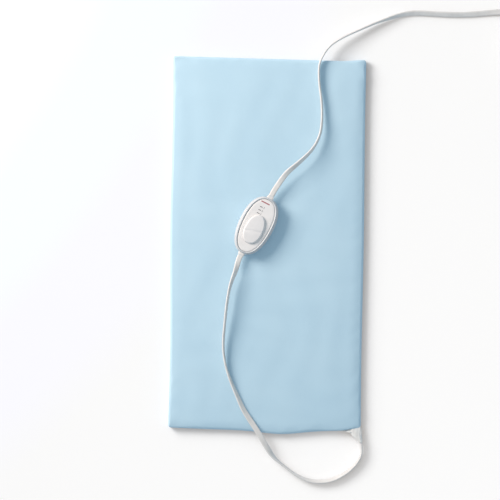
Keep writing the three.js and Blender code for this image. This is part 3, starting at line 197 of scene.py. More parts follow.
def blunt_ring(sides, exponent):
    """A blunt ellipse of half sizes 1: the cosines and sines of equal angles, raised to the exponent."""
    angle = np.linspace(0, 2 * np.pi, sides, endpoint=False)
    return power(np.cos(angle), exponent), power(np.sin(angle), exponent)


def smooth_step(value):
    """Zero below 0, one above 1, and three times the square less twice the cube between them."""
    share = np.clip(value, 0, 1)
    return share * share * (3 - 2 * share)


def skin(grid, loop=False):
    """Points and faces of a closed skin: four-sided between rows, and end fans unless the rows loop.

    Six times the volume is the sum over all triangles of one corner times the cross product of the other
    two. Where it is negative, the faces are turned over.
    """
    rows, columns, _ = grid.shape
    row = np.arange(rows if loop else rows - 1)[:, None]
    column = np.arange(columns)[None, :]
    beside = (column + 1) % columns
    below, above = row * columns, (row + 1) % rows * columns
    faces = np.stack([below + column, below + beside, above + beside, above + column], -1).reshape(-1, 4)
    points = grid.reshape(-1, 3)
    a, b, c, d = points[faces].transpose(1, 0, 2)
    volume = np.einsum("ij,ij->", a, np.cross(b, c) + np.cross(c, d))
    fans = np.zeros((0, 3), int)
    if not loop:
        first, last = np.arange(columns), np.arange(columns) + (rows - 1) * columns
        hub = np.full(columns, len(points))
        fans = np.concatenate([
            np.stack([hub, np.roll(first, -1), first], -1),
            np.stack([hub + 1, last, np.roll(last, -1)], -1),
        ])
        points = np.concatenate([points, grid[0].mean(0)[None], grid[-1].mean(0)[None]])
        a, b, c = points[fans].transpose(1, 0, 2)
        volume += np.einsum("ij,ij->", a, np.cross(b, c))
    return points, (faces, fans) if volume > 0 else (faces[:, ::-1], fans[:, ::-1])


def add_piece(name, skins, finish, body="pad", stands_for=(), sharp=40):
    """One object from one or more skins, smooth except at edges sharper than that many degrees."""
    mesh = bpy.data.meshes.new(name)
    starts = np.cumsum([0] + [len(points) for points, _ in skins])
    faces = [part + start for (_, parts), start in zip(skins, starts) for part in parts]
    places = np.concatenate([points for points, _ in skins])
    mesh.from_pydata(places, [], sum([part.tolist() for part in faces], []), shade_flat=False)
    mesh.set_sharp_from_angle(angle=np.radians(sharp))
    mesh.materials.append(finish)
    piece = into_scene(name, mesh)
    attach(piece, body)
    if stands_for:
        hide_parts(*stands_for)
    print(name, len(mesh.vertices), "points", len(mesh.polygons), "faces")
    return piece


# %% [markdown]
# ## Cords
# Both cords are flat vinyl leads, 9 by 3.4 mm. A lead like this stands on its edge where it bends sideways
# and lies flat where it is straight, so each point of a route has a roll as well as a place. The route is
# one cubic spline with no kink at its knots, and the lead's section is carried along it. A curve object with
# a bevel could do this too, but it gives little control over the roll.


# %% Cord tools
def smooth_path(knots, start, end, step):
    """A spline through knots of x, y, z and more columns, with the given direction at each end.

    Between two knots it is the cubic with given slopes. The slopes make the bend equal on both sides of
    every inner knot, which is one equation a knot, solved together.
    """
    knots = np.asarray(knots, float)
    gaps = np.linalg.norm(np.diff(knots[:, :3], axis=0), axis=1)
    rise = np.diff(knots, axis=0) / gaps[:, None]
    before, after = gaps[:-1], gaps[1:]
    system = np.eye(len(knots))
    inner = np.arange(1, len(knots) - 1)
    system[inner, inner - 1] = after
    system[inner, inner] = 2 * (before + after)
    system[inner, inner + 1] = before
    right = np.zeros_like(knots)
    right[0, :3], right[-1, :3] = start, end
    right[1:-1] = 3 * (after[:, None] * rise[:-1] + before[:, None] * rise[1:])
    slopes = np.linalg.solve(system, right)
    far = np.concatenate([[0], np.cumsum(gaps)])
    places = np.linspace(0, far[-1], int(far[-1] / step) + 2)
    span = np.clip(np.searchsorted(far, places, "right") - 1, 0, len(gaps) - 1)
    wide = gaps[span][:, None]
    t = (places[:, None] - far[span][:, None]) / wide
    return (
        knots[span] * (1 + 2 * t) * (1 - t) ** 2
        + slopes[span] * wide * t * (1 - t) ** 2
        + knots[span + 1] * t * t * (3 - 2 * t)
        - slopes[span + 1] * wide * t * t * (1 - t)
    )


def sections_along(path, rolls):
    """Directions across a path: wide, which is level at roll 0, and thin, square to it.

    Both are mixed from the level left and the way over the path, by the roll's cosine and sine.
    """
    ahead = np.gradient(path, axis=0)
    ahead /= np.linalg.norm(ahead, axis=1)[:, None]
    left = np.cross((0, 0, 1), ahead)
    left /= np.linalg.norm(left, axis=1)[:, None]
    over = np.cross(ahead, left)
    turn = np.radians(rolls)[:, None]
    return np.cos(turn) * left + np.sin(turn) * over, np.cos(turn) * over - np.sin(turn) * left


CORD_WIDTH, CORD_THICKNESS = 9 * MM, 3.4 * MM
CORD_STEP, CORD_SIDES, VALLEY_DEPTH = 2.5 * MM, 28, 0.16


def flat_cord(route, conductors):
    """A blunt ellipse carried along the route, with a cosine's valleys between conductors.

    The valleys fade towards the edges, by the sixth power of the share of the half width.
    """
    x, y = blunt_ring(CORD_SIDES, 2 / 3)
    valley = 0.5 - 0.5 * np.cos(np.pi * (conductors * x + conductors - 1))
    y = y * (1 - VALLEY_DEPTH * valley * (1 - np.abs(x) ** 6))
    wide, thin = sections_along(route[:, :3], route[:, 3])
    across = wide[:, None, :] * (CORD_WIDTH / 2 * x)[:, None]
    up = thin[:, None, :] * (CORD_THICKNESS / 2 * y)[:, None]
    return route[:, None, :3] + across + up


def route_length(route):
    """The sum of the steps from point to point, in metres."""
    return float(np.linalg.norm(np.diff(route[:, :3], axis=0), axis=1).sum())


# %% [markdown]
# ## Pad lead
# The lead leaves the strain relief at the pad's corner on its edge, bends round on the floor, comes up over
# the pad's end and runs across the cloth into the controller's lower end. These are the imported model's own
# route points. The controller's frame comes from its slide's axis and its two screws.

# %% Pad lead
along = np.array(frame["joints"][0]["axis"][:2], float)
along /= np.linalg.norm(along)
across = np.array([along[1], -along[0]])
screws = np.array([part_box(name) for name in ("case_screw_1", "case_screw_2")])
controller_middle = screws.mean((0, 1))[:2]
controller_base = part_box("controller_case")[0].z
pad_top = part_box("pad_cover")[1].z
CORD_ENTRY, ENTRY_HEIGHT = 54.3, 9.4


def in_controller(x, y, z):
    """From the controller's own millimetres, x across, y along, z from its underside, to the frame."""
    x, y, z = np.broadcast_arrays(x, y, z)
    flat = controller_middle + MM * (x[..., None] * across + y[..., None] * along)
    return np.concatenate([flat, controller_base + MM * z[..., None]], -1)


def route_rows(rows, base):
    """Route points in millimetres and degrees, with heights from the base, as metres and degrees."""
    return np.array(rows) * (MM, MM, MM, 1) + (0, 0, base, 0)


lead_on_floor = route_rows([
    (158, -319.3, 6.7, 90), (159.2, -337, 6, 90), (157, -346, 5.5, 86), (150.6, -356.4, 5.2, 78),
    (139, -368, 5, 68), (123.3, -378.4, 4.9, 62), (108.6, -384.6, 4.9, 58), (91.5, -387, 4.9, 58),
    (76.5, -385.8, 4.9, 62), (62.5, -381.4, 5, 72), (47, -373, 5.4, 82), (35.4, -364.5, 6, 86),
    (23.6, -355.2, 7.4, 76), (13.2, -345, 9.6, 48), (5.4, -333.6, 12.2, 16), (-1.8, -322, 14.4, 4),
], 0)
lead_on_pad = route_rows([
    (-9.6, -308.5, 1.9, 2), (-25.8, -284.3, 3.4, 20), (-36, -268, 4.3, 36), (-43.7, -251.8, 4.8, 50),
    (-51.3, -235.6, 5, 62), (-58.1, -219.4, 5.3, 72), (-63.9, -203.2, 5.7, 82), (-67.4, -186.9, 6.8, 80),
    (-69.3, -170.6, 8.2, 76), (-69.2, -151, 10, 74), (-67.8, -132.5, 11.7, 74), (-65.4, -104.4, 13.9, 72),
    (-63, -85.7, 14.3, 70), (-58.3, -63.3, 13.8, 60), (-51.6, -44, 12.4, 36),
], pad_top)
lead_end = np.append(in_controller(0, -CORD_ENTRY, ENTRY_HEIGHT), 0)
slide_way = np.append(along, 0)
lead_route = smooth_path([*lead_on_floor, *lead_on_pad, lead_end], (0, -1, 0), slide_way, CORD_STEP)
pad_lead = add_piece(
    "pad_lead_vinyl", [skin(flat_cord(lead_route, conductors=3))], cord_vinyl, stands_for=["pad_lead"],
)
print("pad lead", round(route_length(lead_route), 3), "m")

# %% [markdown]
# ## Supply cord
# The supply cord leaves the controller's upper end, runs over the pad and off it, and out of the picture.
# The length that isn't seen is wound beside the pad, in on a lower layer and out on an upper one, and ends in
# a plug. It is one spline from end to end, because it is one cord.

# %% Supply cord
COIL_MIDDLE = np.array([452, 331])
COIL_RADIUS, COIL_PITCH, COIL_TURNS = 57, 5.2, 4.25
COIL_LOW, COIL_HIGH, COIL_ROLL = 6.2, 17.0, -90.0
TURN_STEPS = 24

supply_start = np.append(in_controller(0, CORD_ENTRY, ENTRY_HEIGHT), 0)
supply_on_pad = route_rows([
    (11, 90, 11.4, 0), (19.9, 103.6, 13.8, 10), (31, 117.6, 16.2, 26), (43.5, 128.6, 17, 42),
    (55, 139.1, 16.4, 54), (68, 152.6, 14.2, 64), (77.4, 167.6, 12, 70), (82.6, 181.7, 10.2, 72),
    (84.9, 197, 8.8, 72), (85.2, 217, 7.2, 73), (83.6, 238.5, 6, 75), (80.6, 259.2, 5.4, 79),
    (79, 279, 5.1, 83), (80, 295, 4.9, 87),
], pad_top)
supply_on_floor = route_rows([
    (85.6, 309, 18.6, 90), (94, 321.5, 16.8, 90), (106, 332, 15, 90), (122, 341.5, 12.8, 90),
    (138, 349.5, 10.8, 88), (155, 357.4, 9, 85), (171, 364.6, 7.6, 80), (188, 371, 6.4, 68),
    (203, 376.2, 5.4, 52), (219, 380.5, 4.8, 40), (236, 382.5, 4.5, 36), (260, 382, 4.4, 35),
    (285, 381, 4.3, 33), (310, 381, 4.1, 30), (334, 382.5, 3.6, 22), (358, 385, 3.2, 12),
    (376, 386.5, 3.4, -6), (394, 387.6, 4.4, -34), (412, 388, 5.4, -64), (428, 388, 6, -86),
    (443, 388, 6.2, -90),
], 0)
turns = np.arange(int(COIL_TURNS * TURN_STEPS) + 1) / TURN_STEPS
from_reverse = turns - COIL_TURNS / 2
radius = COIL_RADIUS - COIL_PITCH * (COIL_TURNS / 2 - np.abs(from_reverse))
bearing = np.pi / 2 - 2 * np.pi * turns
coil = route_rows(np.stack([
    COIL_MIDDLE[0] + radius * np.cos(bearing),
    COIL_MIDDLE[1] + radius * np.sin(bearing),
    COIL_LOW + (COIL_HIGH - COIL_LOW) * smooth_step(2 * from_reverse + 0.5),
    np.full(len(turns), COIL_ROLL),
], -1), 0)
tail = route_rows([
    (509, 322, 17, -90), (509, 308, 16, -96), (509.5, 294, 13.6, -120), (510, 280, 10.8, -148),
    (510, 266, 9, -170), (510, 252, 8.4, -180),
], 0)
supply_knots = [supply_start, *supply_on_pad, *supply_on_floor, *coil, *tail]
supply_route = smooth_path(supply_knots, slide_way, (0, -1, 0), CORD_STEP)
supply_cord = add_piece(
    "supply_cord_vinyl", [skin(flat_cord(supply_route, conductors=2))], cord_vinyl,
    stands_for=["supply_cord", "supply_cord_coil", "supply_cord_tail"],
)
print("supply cord", round(route_length(supply_route), 3), "m, of which coil", round(route_length(coil), 3))

# %% [markdown]
# ## Plug and strap
# A moulded plug grows out of a ribbed strain relief. Both are blunt ellipses along the cord's last line,
# whose width and height change with the distance: ribs are a cosine on the relief, and the body swells by a
# smooth step to a flat face. The strap is a thin band round all the turns of the coil.


# %% Plug
RELIEF_LENGTH, RELIEF_RIBS, RIB_DEPTH, RELIEF_BLUNTNESS = 24, 5, 1.2, 3
RELIEF_WIDTH, RELIEF_WIDENS, RELIEF_HEIGHT, RELIEF_DEEPENS = 10.8, 2.4, 5.4, 2.8
PLUG_LENGTH, PLUG_GAP, PLUG_BLUNTNESS, PLUG_SIDES = 30, 0.3, 3.4, 48
PLUG_WIDTH, PLUG_WIDENS, PLUG_HEIGHT, PLUG_DEEPENS = 16, 11, 11, 5
SWELL_END, GRIP_PLACE, GRIP_LENGTH, GRIP_DEPTH = 0.55, 0.62, 0.12, 1.1
FACE_START, FACE_ROUND, BACK_END, BACK_ROUND = 0.96, 1.4, 0.05, 1.2


def plug_rows(distance, width, height, bluntness):
    """Blunt ellipses across the plug's axis, which runs towards -Y from the cord's end."""
    x, z = blunt_ring(PLUG_SIDES, 2 / bluntness)
    x, z = width[:, None] / 2 * x, height[:, None] / 2 * z
    y = np.broadcast_to(-distance[:, None], x.shape)
    return np.stack([x, y, z], -1) * MM + tail[-1, :3]


def rounding(share):
    """How far a quarter circle of radius 1 has fallen: one less the root of one less the square."""
    return 1 - np.sqrt(1 - np.clip(share, 0, 1) ** 2)


share = np.linspace(0, 1, 61)
rib = RIB_DEPTH / 2 * (1 - np.cos(2 * np.pi * RELIEF_RIBS * share))
relief_rows = plug_rows(
    PLUG_GAP + RELIEF_LENGTH * share,
    RELIEF_WIDTH + RELIEF_WIDENS * share - rib,
    RELIEF_HEIGHT + RELIEF_DEEPENS * share - rib,
    RELIEF_BLUNTNESS,
)
plug_relief = add_piece(
    "plug_relief_ribbed", [skin(relief_rows)], cord_vinyl, stands_for=["plug_strain_relief"], sharp=60,
)

face = 1 - (1 - FACE_START) * np.cos(np.linspace(0.2, 1.57, 6))
share = np.concatenate([np.linspace(0, FACE_START, 30), face])
swell = smooth_step(share / SWELL_END)
grip = GRIP_DEPTH * bell(share, GRIP_PLACE, GRIP_LENGTH)
edge = FACE_ROUND * rounding((share - FACE_START) / (1 - FACE_START))
edge = edge + BACK_ROUND * rounding(1 - share / BACK_END)
body_rows = plug_rows(
    RELIEF_LENGTH + 2 * PLUG_GAP + PLUG_LENGTH * share,
    PLUG_WIDTH + PLUG_WIDENS * swell - grip - edge,
    PLUG_HEIGHT + PLUG_DEEPENS * swell - 2 * grip - edge,
    PLUG_BLUNTNESS,
)
plug_body = add_piece("plug_moulded", [skin(body_rows)], cord_vinyl, stands_for=["plug_body"], sharp=60)

# %% Strap
STRAP_SLACK, STRAP_BEARING = 0.5, np.radians(215)
HALF_BAND, BAND_MIDDLE, BAND_HALF_WALL = 4.95, 0.45, 0.42

beside = CORD_THICKNESS / MM / 2 + STRAP_SLACK
above = CORD_WIDTH / MM / 2 + STRAP_SLACK
strap_inner, strap_outer = COIL_RADIUS - COIL_PITCH * COIL_TURNS / 2 - beside, COIL_RADIUS + beside
strap_low, strap_high = COIL_LOW - above, COIL_HIGH + above
turn = np.linspace(0, 2 * np.pi, 12, endpoint=False)
band = HALF_BAND * power(np.cos(turn), 0.35)[:, None]
grow = BAND_MIDDLE + BAND_HALF_WALL * power(np.sin(turn), 0.6)[:, None]
ring_x, ring_z = blunt_ring(72, 0.4)
out = (strap_outer + strap_inner) / 2 + ((strap_outer - strap_inner) / 2 + grow) * ring_x
high = (strap_high + strap_low) / 2 + ((strap_high - strap_low) / 2 + grow) * ring_z
strap_rows = MM * np.stack([
    COIL_MIDDLE[0] + out * np.cos(STRAP_BEARING) - band * np.sin(STRAP_BEARING),
    COIL_MIDDLE[1] + out * np.sin(STRAP_BEARING) + band * np.cos(STRAP_BEARING),
    high + 0 * band,
], -1)
strap = add_piece("coil_strap", [skin(strap_rows, loop=True)], strap_cloth, stands_for=["cord_strap"])

# %% [markdown]
# ## Cover
# The cover is a cloth pocket: two sheets, one above the other, that roll towards each other at the edges and
# meet in a seam. Each sheet is one grid. Even cells fill the middle, and the edge rolls over as a blunt
# ellipse, spaced by equal angles, so the cloth isn't stretched there. In the corners the square grid is
# pressed into a quarter circle, by shortening each side's roll as the other's grows.

# %% Cover plan
HALF_WIDTH, HALF_LENGTH = 157.0, 302.0
ROLL, BLUNT = 4.5, 3.0
SEAM_HEIGHT = 6.5
TOP_HEIGHT = pad_top / MM
CELL = 7.0
ROLL_CLOTH = 6.7
BOW_START, BOW_RUN = 150, 150
SIDE_WAVE, SIDE_WAVE_LENGTH, LEFT_LEAN, LEFT_FLARE = 1.2, 390, 1.2, 1.6
LOW_BOW, LOW_BULGE, LOW_STEP = 2.5, 5.5, 4.4
TOP_CORNER, TOP_SLANT, TOP_LEAN = 2.6, 0.014, 1.2


def edge_spaced(half):
    """Places from -half to half and the cloth's length to them: even inside, blunt sines in the rolls."""
    flat = half - ROLL
    inside = np.linspace(-flat, flat, int(2 * flat / CELL) + 1)
    angles = np.linspace(0, np.pi / 2, 8)[1:]
    rolled = ROLL * np.sin(angles) ** (2 / BLUNT)
    return (
        np.concatenate([-flat - rolled[::-1], inside, flat + rolled]),
        np.concatenate([-flat - ROLL_CLOTH * angles[::-1], inside, flat + ROLL_CLOTH * angles]),
    )


def edge_bows(x, y):
    """The outline of a real cover in place of a rectangle.

    The sides wave by a cosine and the left one leans out. The low end bows out by a parabola and a bell, and
    steps back at the mouth. The top end slants, with a bell at its right corner. The ends' shapes fade out
    towards the middle.
    """
    side = SIDE_WAVE * np.cos(2 * np.pi * (y - 10) / SIDE_WAVE_LENGTH) - SIDE_WAVE / 2
    left = LEFT_LEAN + LEFT_FLARE * smooth_step((y + 100) / 300)
    low = LOW_BOW * (1 - (x / HALF_WIDTH) ** 2) + LOW_BULGE * bell(x, 27, 45)
    low = low - LOW_STEP * smooth_step((x - 118) / 40)
    high = TOP_CORNER * bell(x, 152, 18) - TOP_SLANT * x + TOP_LEAN
    return (
        x + x / HALF_WIDTH * np.where(x < 0, side + left, 0.4 * side),
        y + high * smooth_step((y - BOW_START) / BOW_RUN) - low * smooth_step((-y - BOW_START) / BOW_RUN),
    )


column_places, column_cloth = edge_spaced(HALF_WIDTH)
row_places, row_cloth = edge_spaced(HALF_LENGTH)
flat_x, flat_y = np.meshgrid(column_places, row_places)
lean_x = np.clip((np.abs(flat_x) - HALF_WIDTH + ROLL) / ROLL, 0, 1)
lean_y = np.clip((np.abs(flat_y) - HALF_LENGTH + ROLL) / ROLL, 0, 1)
round_x = np.sign(flat_x) * lean_x * np.sqrt(1 - lean_y ** 2 / 2)
round_y = np.sign(flat_y) * lean_y * np.sqrt(1 - lean_x ** 2 / 2)
plan_x = np.clip(flat_x, ROLL - HALF_WIDTH, HALF_WIDTH - ROLL) + ROLL * round_x
plan_y = np.clip(flat_y, ROLL - HALF_LENGTH, HALF_LENGTH - ROLL) + ROLL * round_y
fullness = np.clip(1 - np.hypot(round_x, round_y) ** BLUNT, 0, 1) ** (1 / BLUNT)
from_edge = np.minimum(HALF_WIDTH - np.abs(plan_x), HALF_LENGTH - np.abs(plan_y))
cover_x, cover_y = edge_bows(plan_x, plan_y)
print("cover grid", flat_x.shape)

# %% [markdown]
# ## Seam and mouth
# Between the two sheets' edges runs a narrow strip, folded in: that is the seam. At one corner the same strip
# goes much deeper and its lips part. That is the pocket's mouth, where the lead comes out. So the cover stays
# one closed skin, and no hole has to be cut.


# %% Cover skin
CROWN, CROWN_START, CROWN_RUN = 1.4, 9, 51
SIDE_SLUMP, SIDE_SLUMP_RUN, END_SLUMP, END_SLUMP_RUN = 2.2, 12, 1.8, 11
MOUTH_LEFT, MOUTH_RIGHT, MOUTH_INSIDE = 112, 161, 286
SEAM_LIP, MOUTH_LIP, SEAM_DEPTH, MOUTH_DEPTH = 0.3, 2.6, 1.0, 11


def crown_fall(from_edge):
    """How far the top lies below the pad's middle: a parabola, from the crown at its start to none."""
    return CROWN * (1 - np.clip((from_edge - CROWN_START) / CROWN_RUN, 0, 1)) ** 2


def slump(from_side, run):
    """A worn edge's share of its slump: a parabola from 1 at the edge to 0 at the run's end."""
    return np.clip(1 - from_side / run, 0, 1) ** 2


rows, columns = flat_x.shape
index = np.arange(rows * columns).reshape(rows, columns)
rim = np.concatenate([index[0, :-1], index[:-1, -1], index[-1, :0:-1], index[:0:-1, 0]])
mouth = smooth_step((cover_x - MOUTH_LEFT) / 12) * smooth_step((MOUTH_RIGHT - cover_x) / 8)
mouth = mouth * smooth_step((-cover_y - MOUTH_INSIDE) / 14)
lip = SEAM_LIP + mouth * MOUTH_LIP
fall = crown_fall(from_edge) + SIDE_SLUMP * slump(HALF_WIDTH - plan_x, SIDE_SLUMP_RUN)
fall = fall + END_SLUMP * slump(HALF_LENGTH + plan_y, END_SLUMP_RUN)
top_z = SEAM_HEIGHT + lip * (1 - fullness) + fullness * (TOP_HEIGHT - fall - SEAM_HEIGHT)
low_z = SEAM_HEIGHT * (1 - fullness) - lip * (1 - fullness)
top_sheet = np.stack([cover_x, cover_y, top_z], -1).reshape(-1, 3)
low_sheet = np.stack([cover_x, cover_y, low_z], -1).reshape(-1, 3)

outward = np.stack([round_x, round_y], -1).reshape(-1, 2)[rim]
rim_lip, rim_mouth = lip.reshape(-1)[rim], mouth.reshape(-1)[rim]
fold = np.array([[0.5, 0.9], [1.0, 0.6], [1.0, -0.6], [0.5, -0.9]])
depth = fold[:, :1] * (SEAM_DEPTH + MOUTH_DEPTH * rim_mouth)
seam_xy = top_sheet[rim, :2] - depth[..., None] * outward
seam_z = SEAM_HEIGHT + fold[:, 1:] * rim_lip
seam = np.concatenate([seam_xy, seam_z[..., None]], -1)
cover_points = np.concatenate([top_sheet, low_sheet, seam.reshape(-1, 3)])
print("cover points", len(cover_points))


# %% Cover mesh
def quads(grid):
    """Four-sided faces between neighbours of a grid of point numbers."""
    return np.stack([grid[:-1, :-1], grid[:-1, 1:], grid[1:, 1:], grid[1:, :-1]], -1).reshape(-1, 4)


strip = np.arange(seam[..., 0].size).reshape(len(fold), -1) + 2 * rows * columns
strip = np.concatenate([rim[None], strip, rim[None] + rows * columns])
strip = np.concatenate([strip, strip[:, :1]], 1)
cover_faces = np.concatenate([quads(index), quads(index + rows * columns)[:, ::-1], quads(strip)[:, ::-1]])
cloth_u, cloth_v = np.meshgrid(column_cloth, row_cloth)
sheet_uv = np.stack([cloth_u, cloth_v], -1).reshape(-1, 2)
rim_uv = sheet_uv[rim]
seam_uv = rim_uv + depth[..., None] * outward
cover_uv = np.concatenate([sheet_uv, sheet_uv, seam_uv.reshape(-1, 2)]) * MM

cover_mesh = bpy.data.meshes.new("cover_cloth")
cover_mesh.from_pydata(cover_points * MM, [], cover_faces.tolist(), shade_flat=False)
corner_points = np.zeros(len(cover_mesh.loops), np.int32)
cover_mesh.loops.foreach_get("vertex_index", corner_points)
cover_mesh.uv_layers.new(name="cloth").data.foreach_set("uv", cover_uv[corner_points].ravel())
cover = into_scene("pad_cover_cloth", cover_mesh)
print("cover faces", len(cover_mesh.polygons))

# %% [markdown]
# ## Letting the cloth settle
# A sewn cover is cut a little larger than what it holds, so it puckers along its seam. A short cloth
# simulation gives that: the sheets are made one percent too large and blown up slightly, while the seam and
# the underside are held. What it moves is limited, because the cords and the case lie on the top.


# %% Cloth simulation
MOST_SHIFT, MOST_RISE, MOST_FALL = 1.4, 0.2, 0.8


def settle(piece, held, frames=20):
    """Each point's place after a short simulation, with the held points pinned."""
    group = piece.vertex_groups.new(name="held")
    group.add(np.flatnonzero(held).tolist(), 1.0, "REPLACE")
    cloth = piece.modifiers.new("cloth", "CLOTH")
    cloth.settings.quality = 6
    cloth.settings.mass = 0.15
    cloth.settings.tension_stiffness = 12
    cloth.settings.compression_stiffness = 12
    cloth.settings.shear_stiffness = 3
    cloth.settings.bending_stiffness = 0.2
    cloth.settings.use_pressure = True
    cloth.settings.uniform_pressure_force = 3
    cloth.settings.shrink_min = -0.012
    cloth.settings.effector_weights.gravity = 0
    cloth.settings.vertex_group_mass = "held"
    cloth.collision_settings.use_collision = False
    cloth.point_cache.frame_end = frames
    for number in range(1, frames + 1):
        bpy.context.scene.frame_set(number)
    settled = piece.evaluated_get(bpy.context.evaluated_depsgraph_get())
    places = np.zeros(3 * len(piece.data.vertices), np.float32)
    settled.to_mesh().vertices.foreach_get("co", places)
    settled.to_mesh_clear()
    piece.modifiers.remove(cloth)
    piece.vertex_groups.remove(group)
    bpy.context.scene.frame_set(1)
    return places.reshape(-1, 3) / MM


drawn = cover_points.copy()
held = np.ones(len(drawn), bool)
held[: rows * columns] = ((from_edge < 0.3) | (mouth > 0.05)).ravel()
shift = settle(cover, held) - drawn
length = np.linalg.norm(shift, axis=1, keepdims=True)
shift *= np.clip(MOST_SHIFT / np.maximum(length, 1e-6), 0, 1)
limit = np.where(shift[:, 2] > 0, MOST_RISE, MOST_FALL)
shift[:, 2] = limit * np.tanh(shift[:, 2] / limit)
cover_points = drawn + shift
print("cloth moved at most", round(float(np.abs(shift).max()), 2), "mm")

# %% [markdown]
# ## Dents and the finished cover
# A pad that has been folded and laid down keeps soft dents, broad and a millimetre deep at most. They are
# sums of slow waves at odd angles. The cover then gets one subdivision, and its cloth a fine weave on a UV
# map of its own, whose units are metres of cloth.

# %% Dents
DENT_DEPTH, DENT_START, DENT_RUN = 1.0, 4, 30


def soft_dents(x, y):
    """Downward dents: products of slow sines across slanted directions, from 0 to 1."""
    slant, other = 0.8 * x + 0.6 * y, 0.55 * x - 0.83 * y
    waves = np.sin(slant / 31 + 1.1) * np.sin(other / 43 + 0.4)
    waves = waves + 0.6 * np.sin(slant / 17 + 2.0) * np.sin(other / 24)
    ripples = np.sin(slant / 11 + 1.5 * np.sin(other / 29)) * np.sin(other / 14 + 1.2 * np.sin(slant / 37))
    return np.clip(0.5 + 0.28 * waves + 0.4 * ripples, 0, 1)


dent = DENT_DEPTH * soft_dents(cover_x, cover_y) * smooth_step((from_edge - DENT_START) / DENT_RUN)
cover_points[: rows * columns, 2] -= dent.ravel()
cover_points[:, 2] = np.maximum(cover_points[:, 2], 0)
cover_mesh.vertices.foreach_set("co", (cover_points * MM).astype(np.float32).ravel())
cover_mesh.update()
finer = cover.modifiers.new("finer", "SUBSURF")
finer.levels = finer.render_levels = 1
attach(cover, "pad")
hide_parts("pad_cover")
print("deepest dent", round(float(dent.max()), 2), "mm")


# %% Cover cloth
THREAD_SCALE, THREAD_HEIGHT = 350.0, 0.00006
WAVE_PERIOD = 2 * np.pi / 20


def combine(tree, operation, first, second, kind="Math", output="Value"):
    """The outcome of one operation on two sockets or numbers."""
    return add_node(tree, kind, {0: first, 1: second}, operation=operation).outputs[output]


cloth, tree, shader = new_finish("cover_cloth", Roughness=0.85, Sheen_Weight=0.15, Sheen_Roughness=0.5)
place = add_node(tree, "TexCoord", {}).outputs
patches = add_node(tree, "TexNoise", {"Vector": place["Object"], "Scale": 14.0, "Detail": 2.0})
thread = {"Vector": place["UV"], "Scale": THREAD_SCALE, "Distortion": 0.6}
warp, weft = [add_node(tree, "TexWave", thread, bands_direction=way).outputs["Fac"] for way in ("X", "Y")]
weave = combine(tree, "MULTIPLY", warp, weft)
tint = two_tones(tree, patches.outputs["Fac"], paint(186, 216, 233), paint(190, 219, 235))
bump = add_node(tree, "Bump", {"Height": weave, "Distance": THREAD_HEIGHT})
tree.links.new(tint, shader.inputs["Base Color"])
tree.links.new(bump.outputs["Normal"], shader.inputs["Normal"])
cover_mesh.materials.append(cloth)
print("cover cloth with threads every", round(WAVE_PERIOD / THREAD_SCALE / MM, 2), "mm")

# %% [markdown]
# ## Inside the cover
# A sealed vinyl bag holds two felts with the heating wires between them. They are flat skins with the
# cover's outline, drawn in by a few millimetres, and the same low crown. The wires themselves stay as they
# are packed.


# %% Bag and felts
CROWN_STEPS = (20, 34, 60)
rim_plan = top_sheet[rim, :2]


def layer(inset, low, high, edge=0.8):
    """A flat skin inside the cover: its outline scaled in by an inset, and a top that follows the crown."""
    steps = np.array([inset + edge, inset, inset, inset + edge, *CROWN_STEPS])
    fall = crown_fall(steps)
    heights = np.array([low, low + edge, high - fall[2] - edge, *(high - fall[3:])])
    flat = rim_plan * (1 - steps[:, None, None] / np.array([HALF_WIDTH, HALF_LENGTH]))
    return MM * np.concatenate([flat, np.broadcast_to(heights[:, None, None], flat.shape[:2] + (1,))], -1)


bag_skin = skin(layer(inset=12, low=1.3, high=12.5))
bag = add_piece("vinyl_bag", [bag_skin], bag_vinyl, stands_for=["vinyl_sheet_bottom", "vinyl_sheet_top"])
below_skin = skin(layer(inset=13, low=2.2, high=6.6, edge=0.6))
felt_below = add_piece("felt_below", [below_skin], felt, stands_for=["felt_bottom"])
above_skin = skin(layer(inset=13, low=8.2, high=11.8, edge=0.6))
felt_above = add_piece("felt_above", [above_skin], felt, stands_for=["felt_top"])

# %% [markdown]
# ## Strain relief and the bag's edge
# A crumpled vinyl sleeve comes out of the mouth, narrows, and stands up on its edge to hold the lead. Beside
# it a sliver of the bag shows. The sleeve is a blunt ellipse along a short path, with folds that are waves
# round it and along it. The sliver is one small sheet with a wavy front.

# %% Strain relief
SLEEVE_STEP, SLEEVE_SIDES, SLEEVE_EXPONENT = 0.5 * MM, 64, 0.7

sleeve_knots = MM * np.array([
    (139.0, -280.0, 6.8, 22, 5.5), (144.6, -290.0, 6.8, 20, 6.0), (148.4, -299.5, 6.8, 19, 6.8),
    (149.6, -306.0, 6.8, 17.6, 8.0), (152.4, -312.5, 6.8, 13, 9.6), (155.0, -317.5, 6.7, 9.4, 10.8),
    (156.2, -321.0, 6.7, 8.0, 11.4),
])
sleeve = smooth_path(sleeve_knots, (0.5, -0.87, 0), (0.2, -0.98, 0), SLEEVE_STEP)
angle = np.linspace(0, 2 * np.pi, SLEEVE_SIDES, endpoint=False)
place = np.linspace(0, 1, len(sleeve))[:, None]
waves = 0.05 * np.sin(5 * angle + 9 * place) + 0.035 * np.sin(11 * angle - 16 * place)
folds = 1 + waves * np.sin(np.pi * np.clip(place, 0.02, 0.98))
ring_x, ring_z = blunt_ring(SLEEVE_SIDES, SLEEVE_EXPONENT)
x = sleeve[:, 3:4] / 2 * ring_x * folds
z = sleeve[:, 4:5] / 2 * ring_z * folds
sleeve_rows = np.stack([sleeve[:, :1] + x, sleeve[:, 1:2] + 0.1 * x, sleeve[:, 2:3] + z], -1)
pad_relief = add_piece(
    "lead_sleeve", [skin(sleeve_rows)], bag_vinyl, stands_for=["pad_strain_relief"], sharp=70,
)

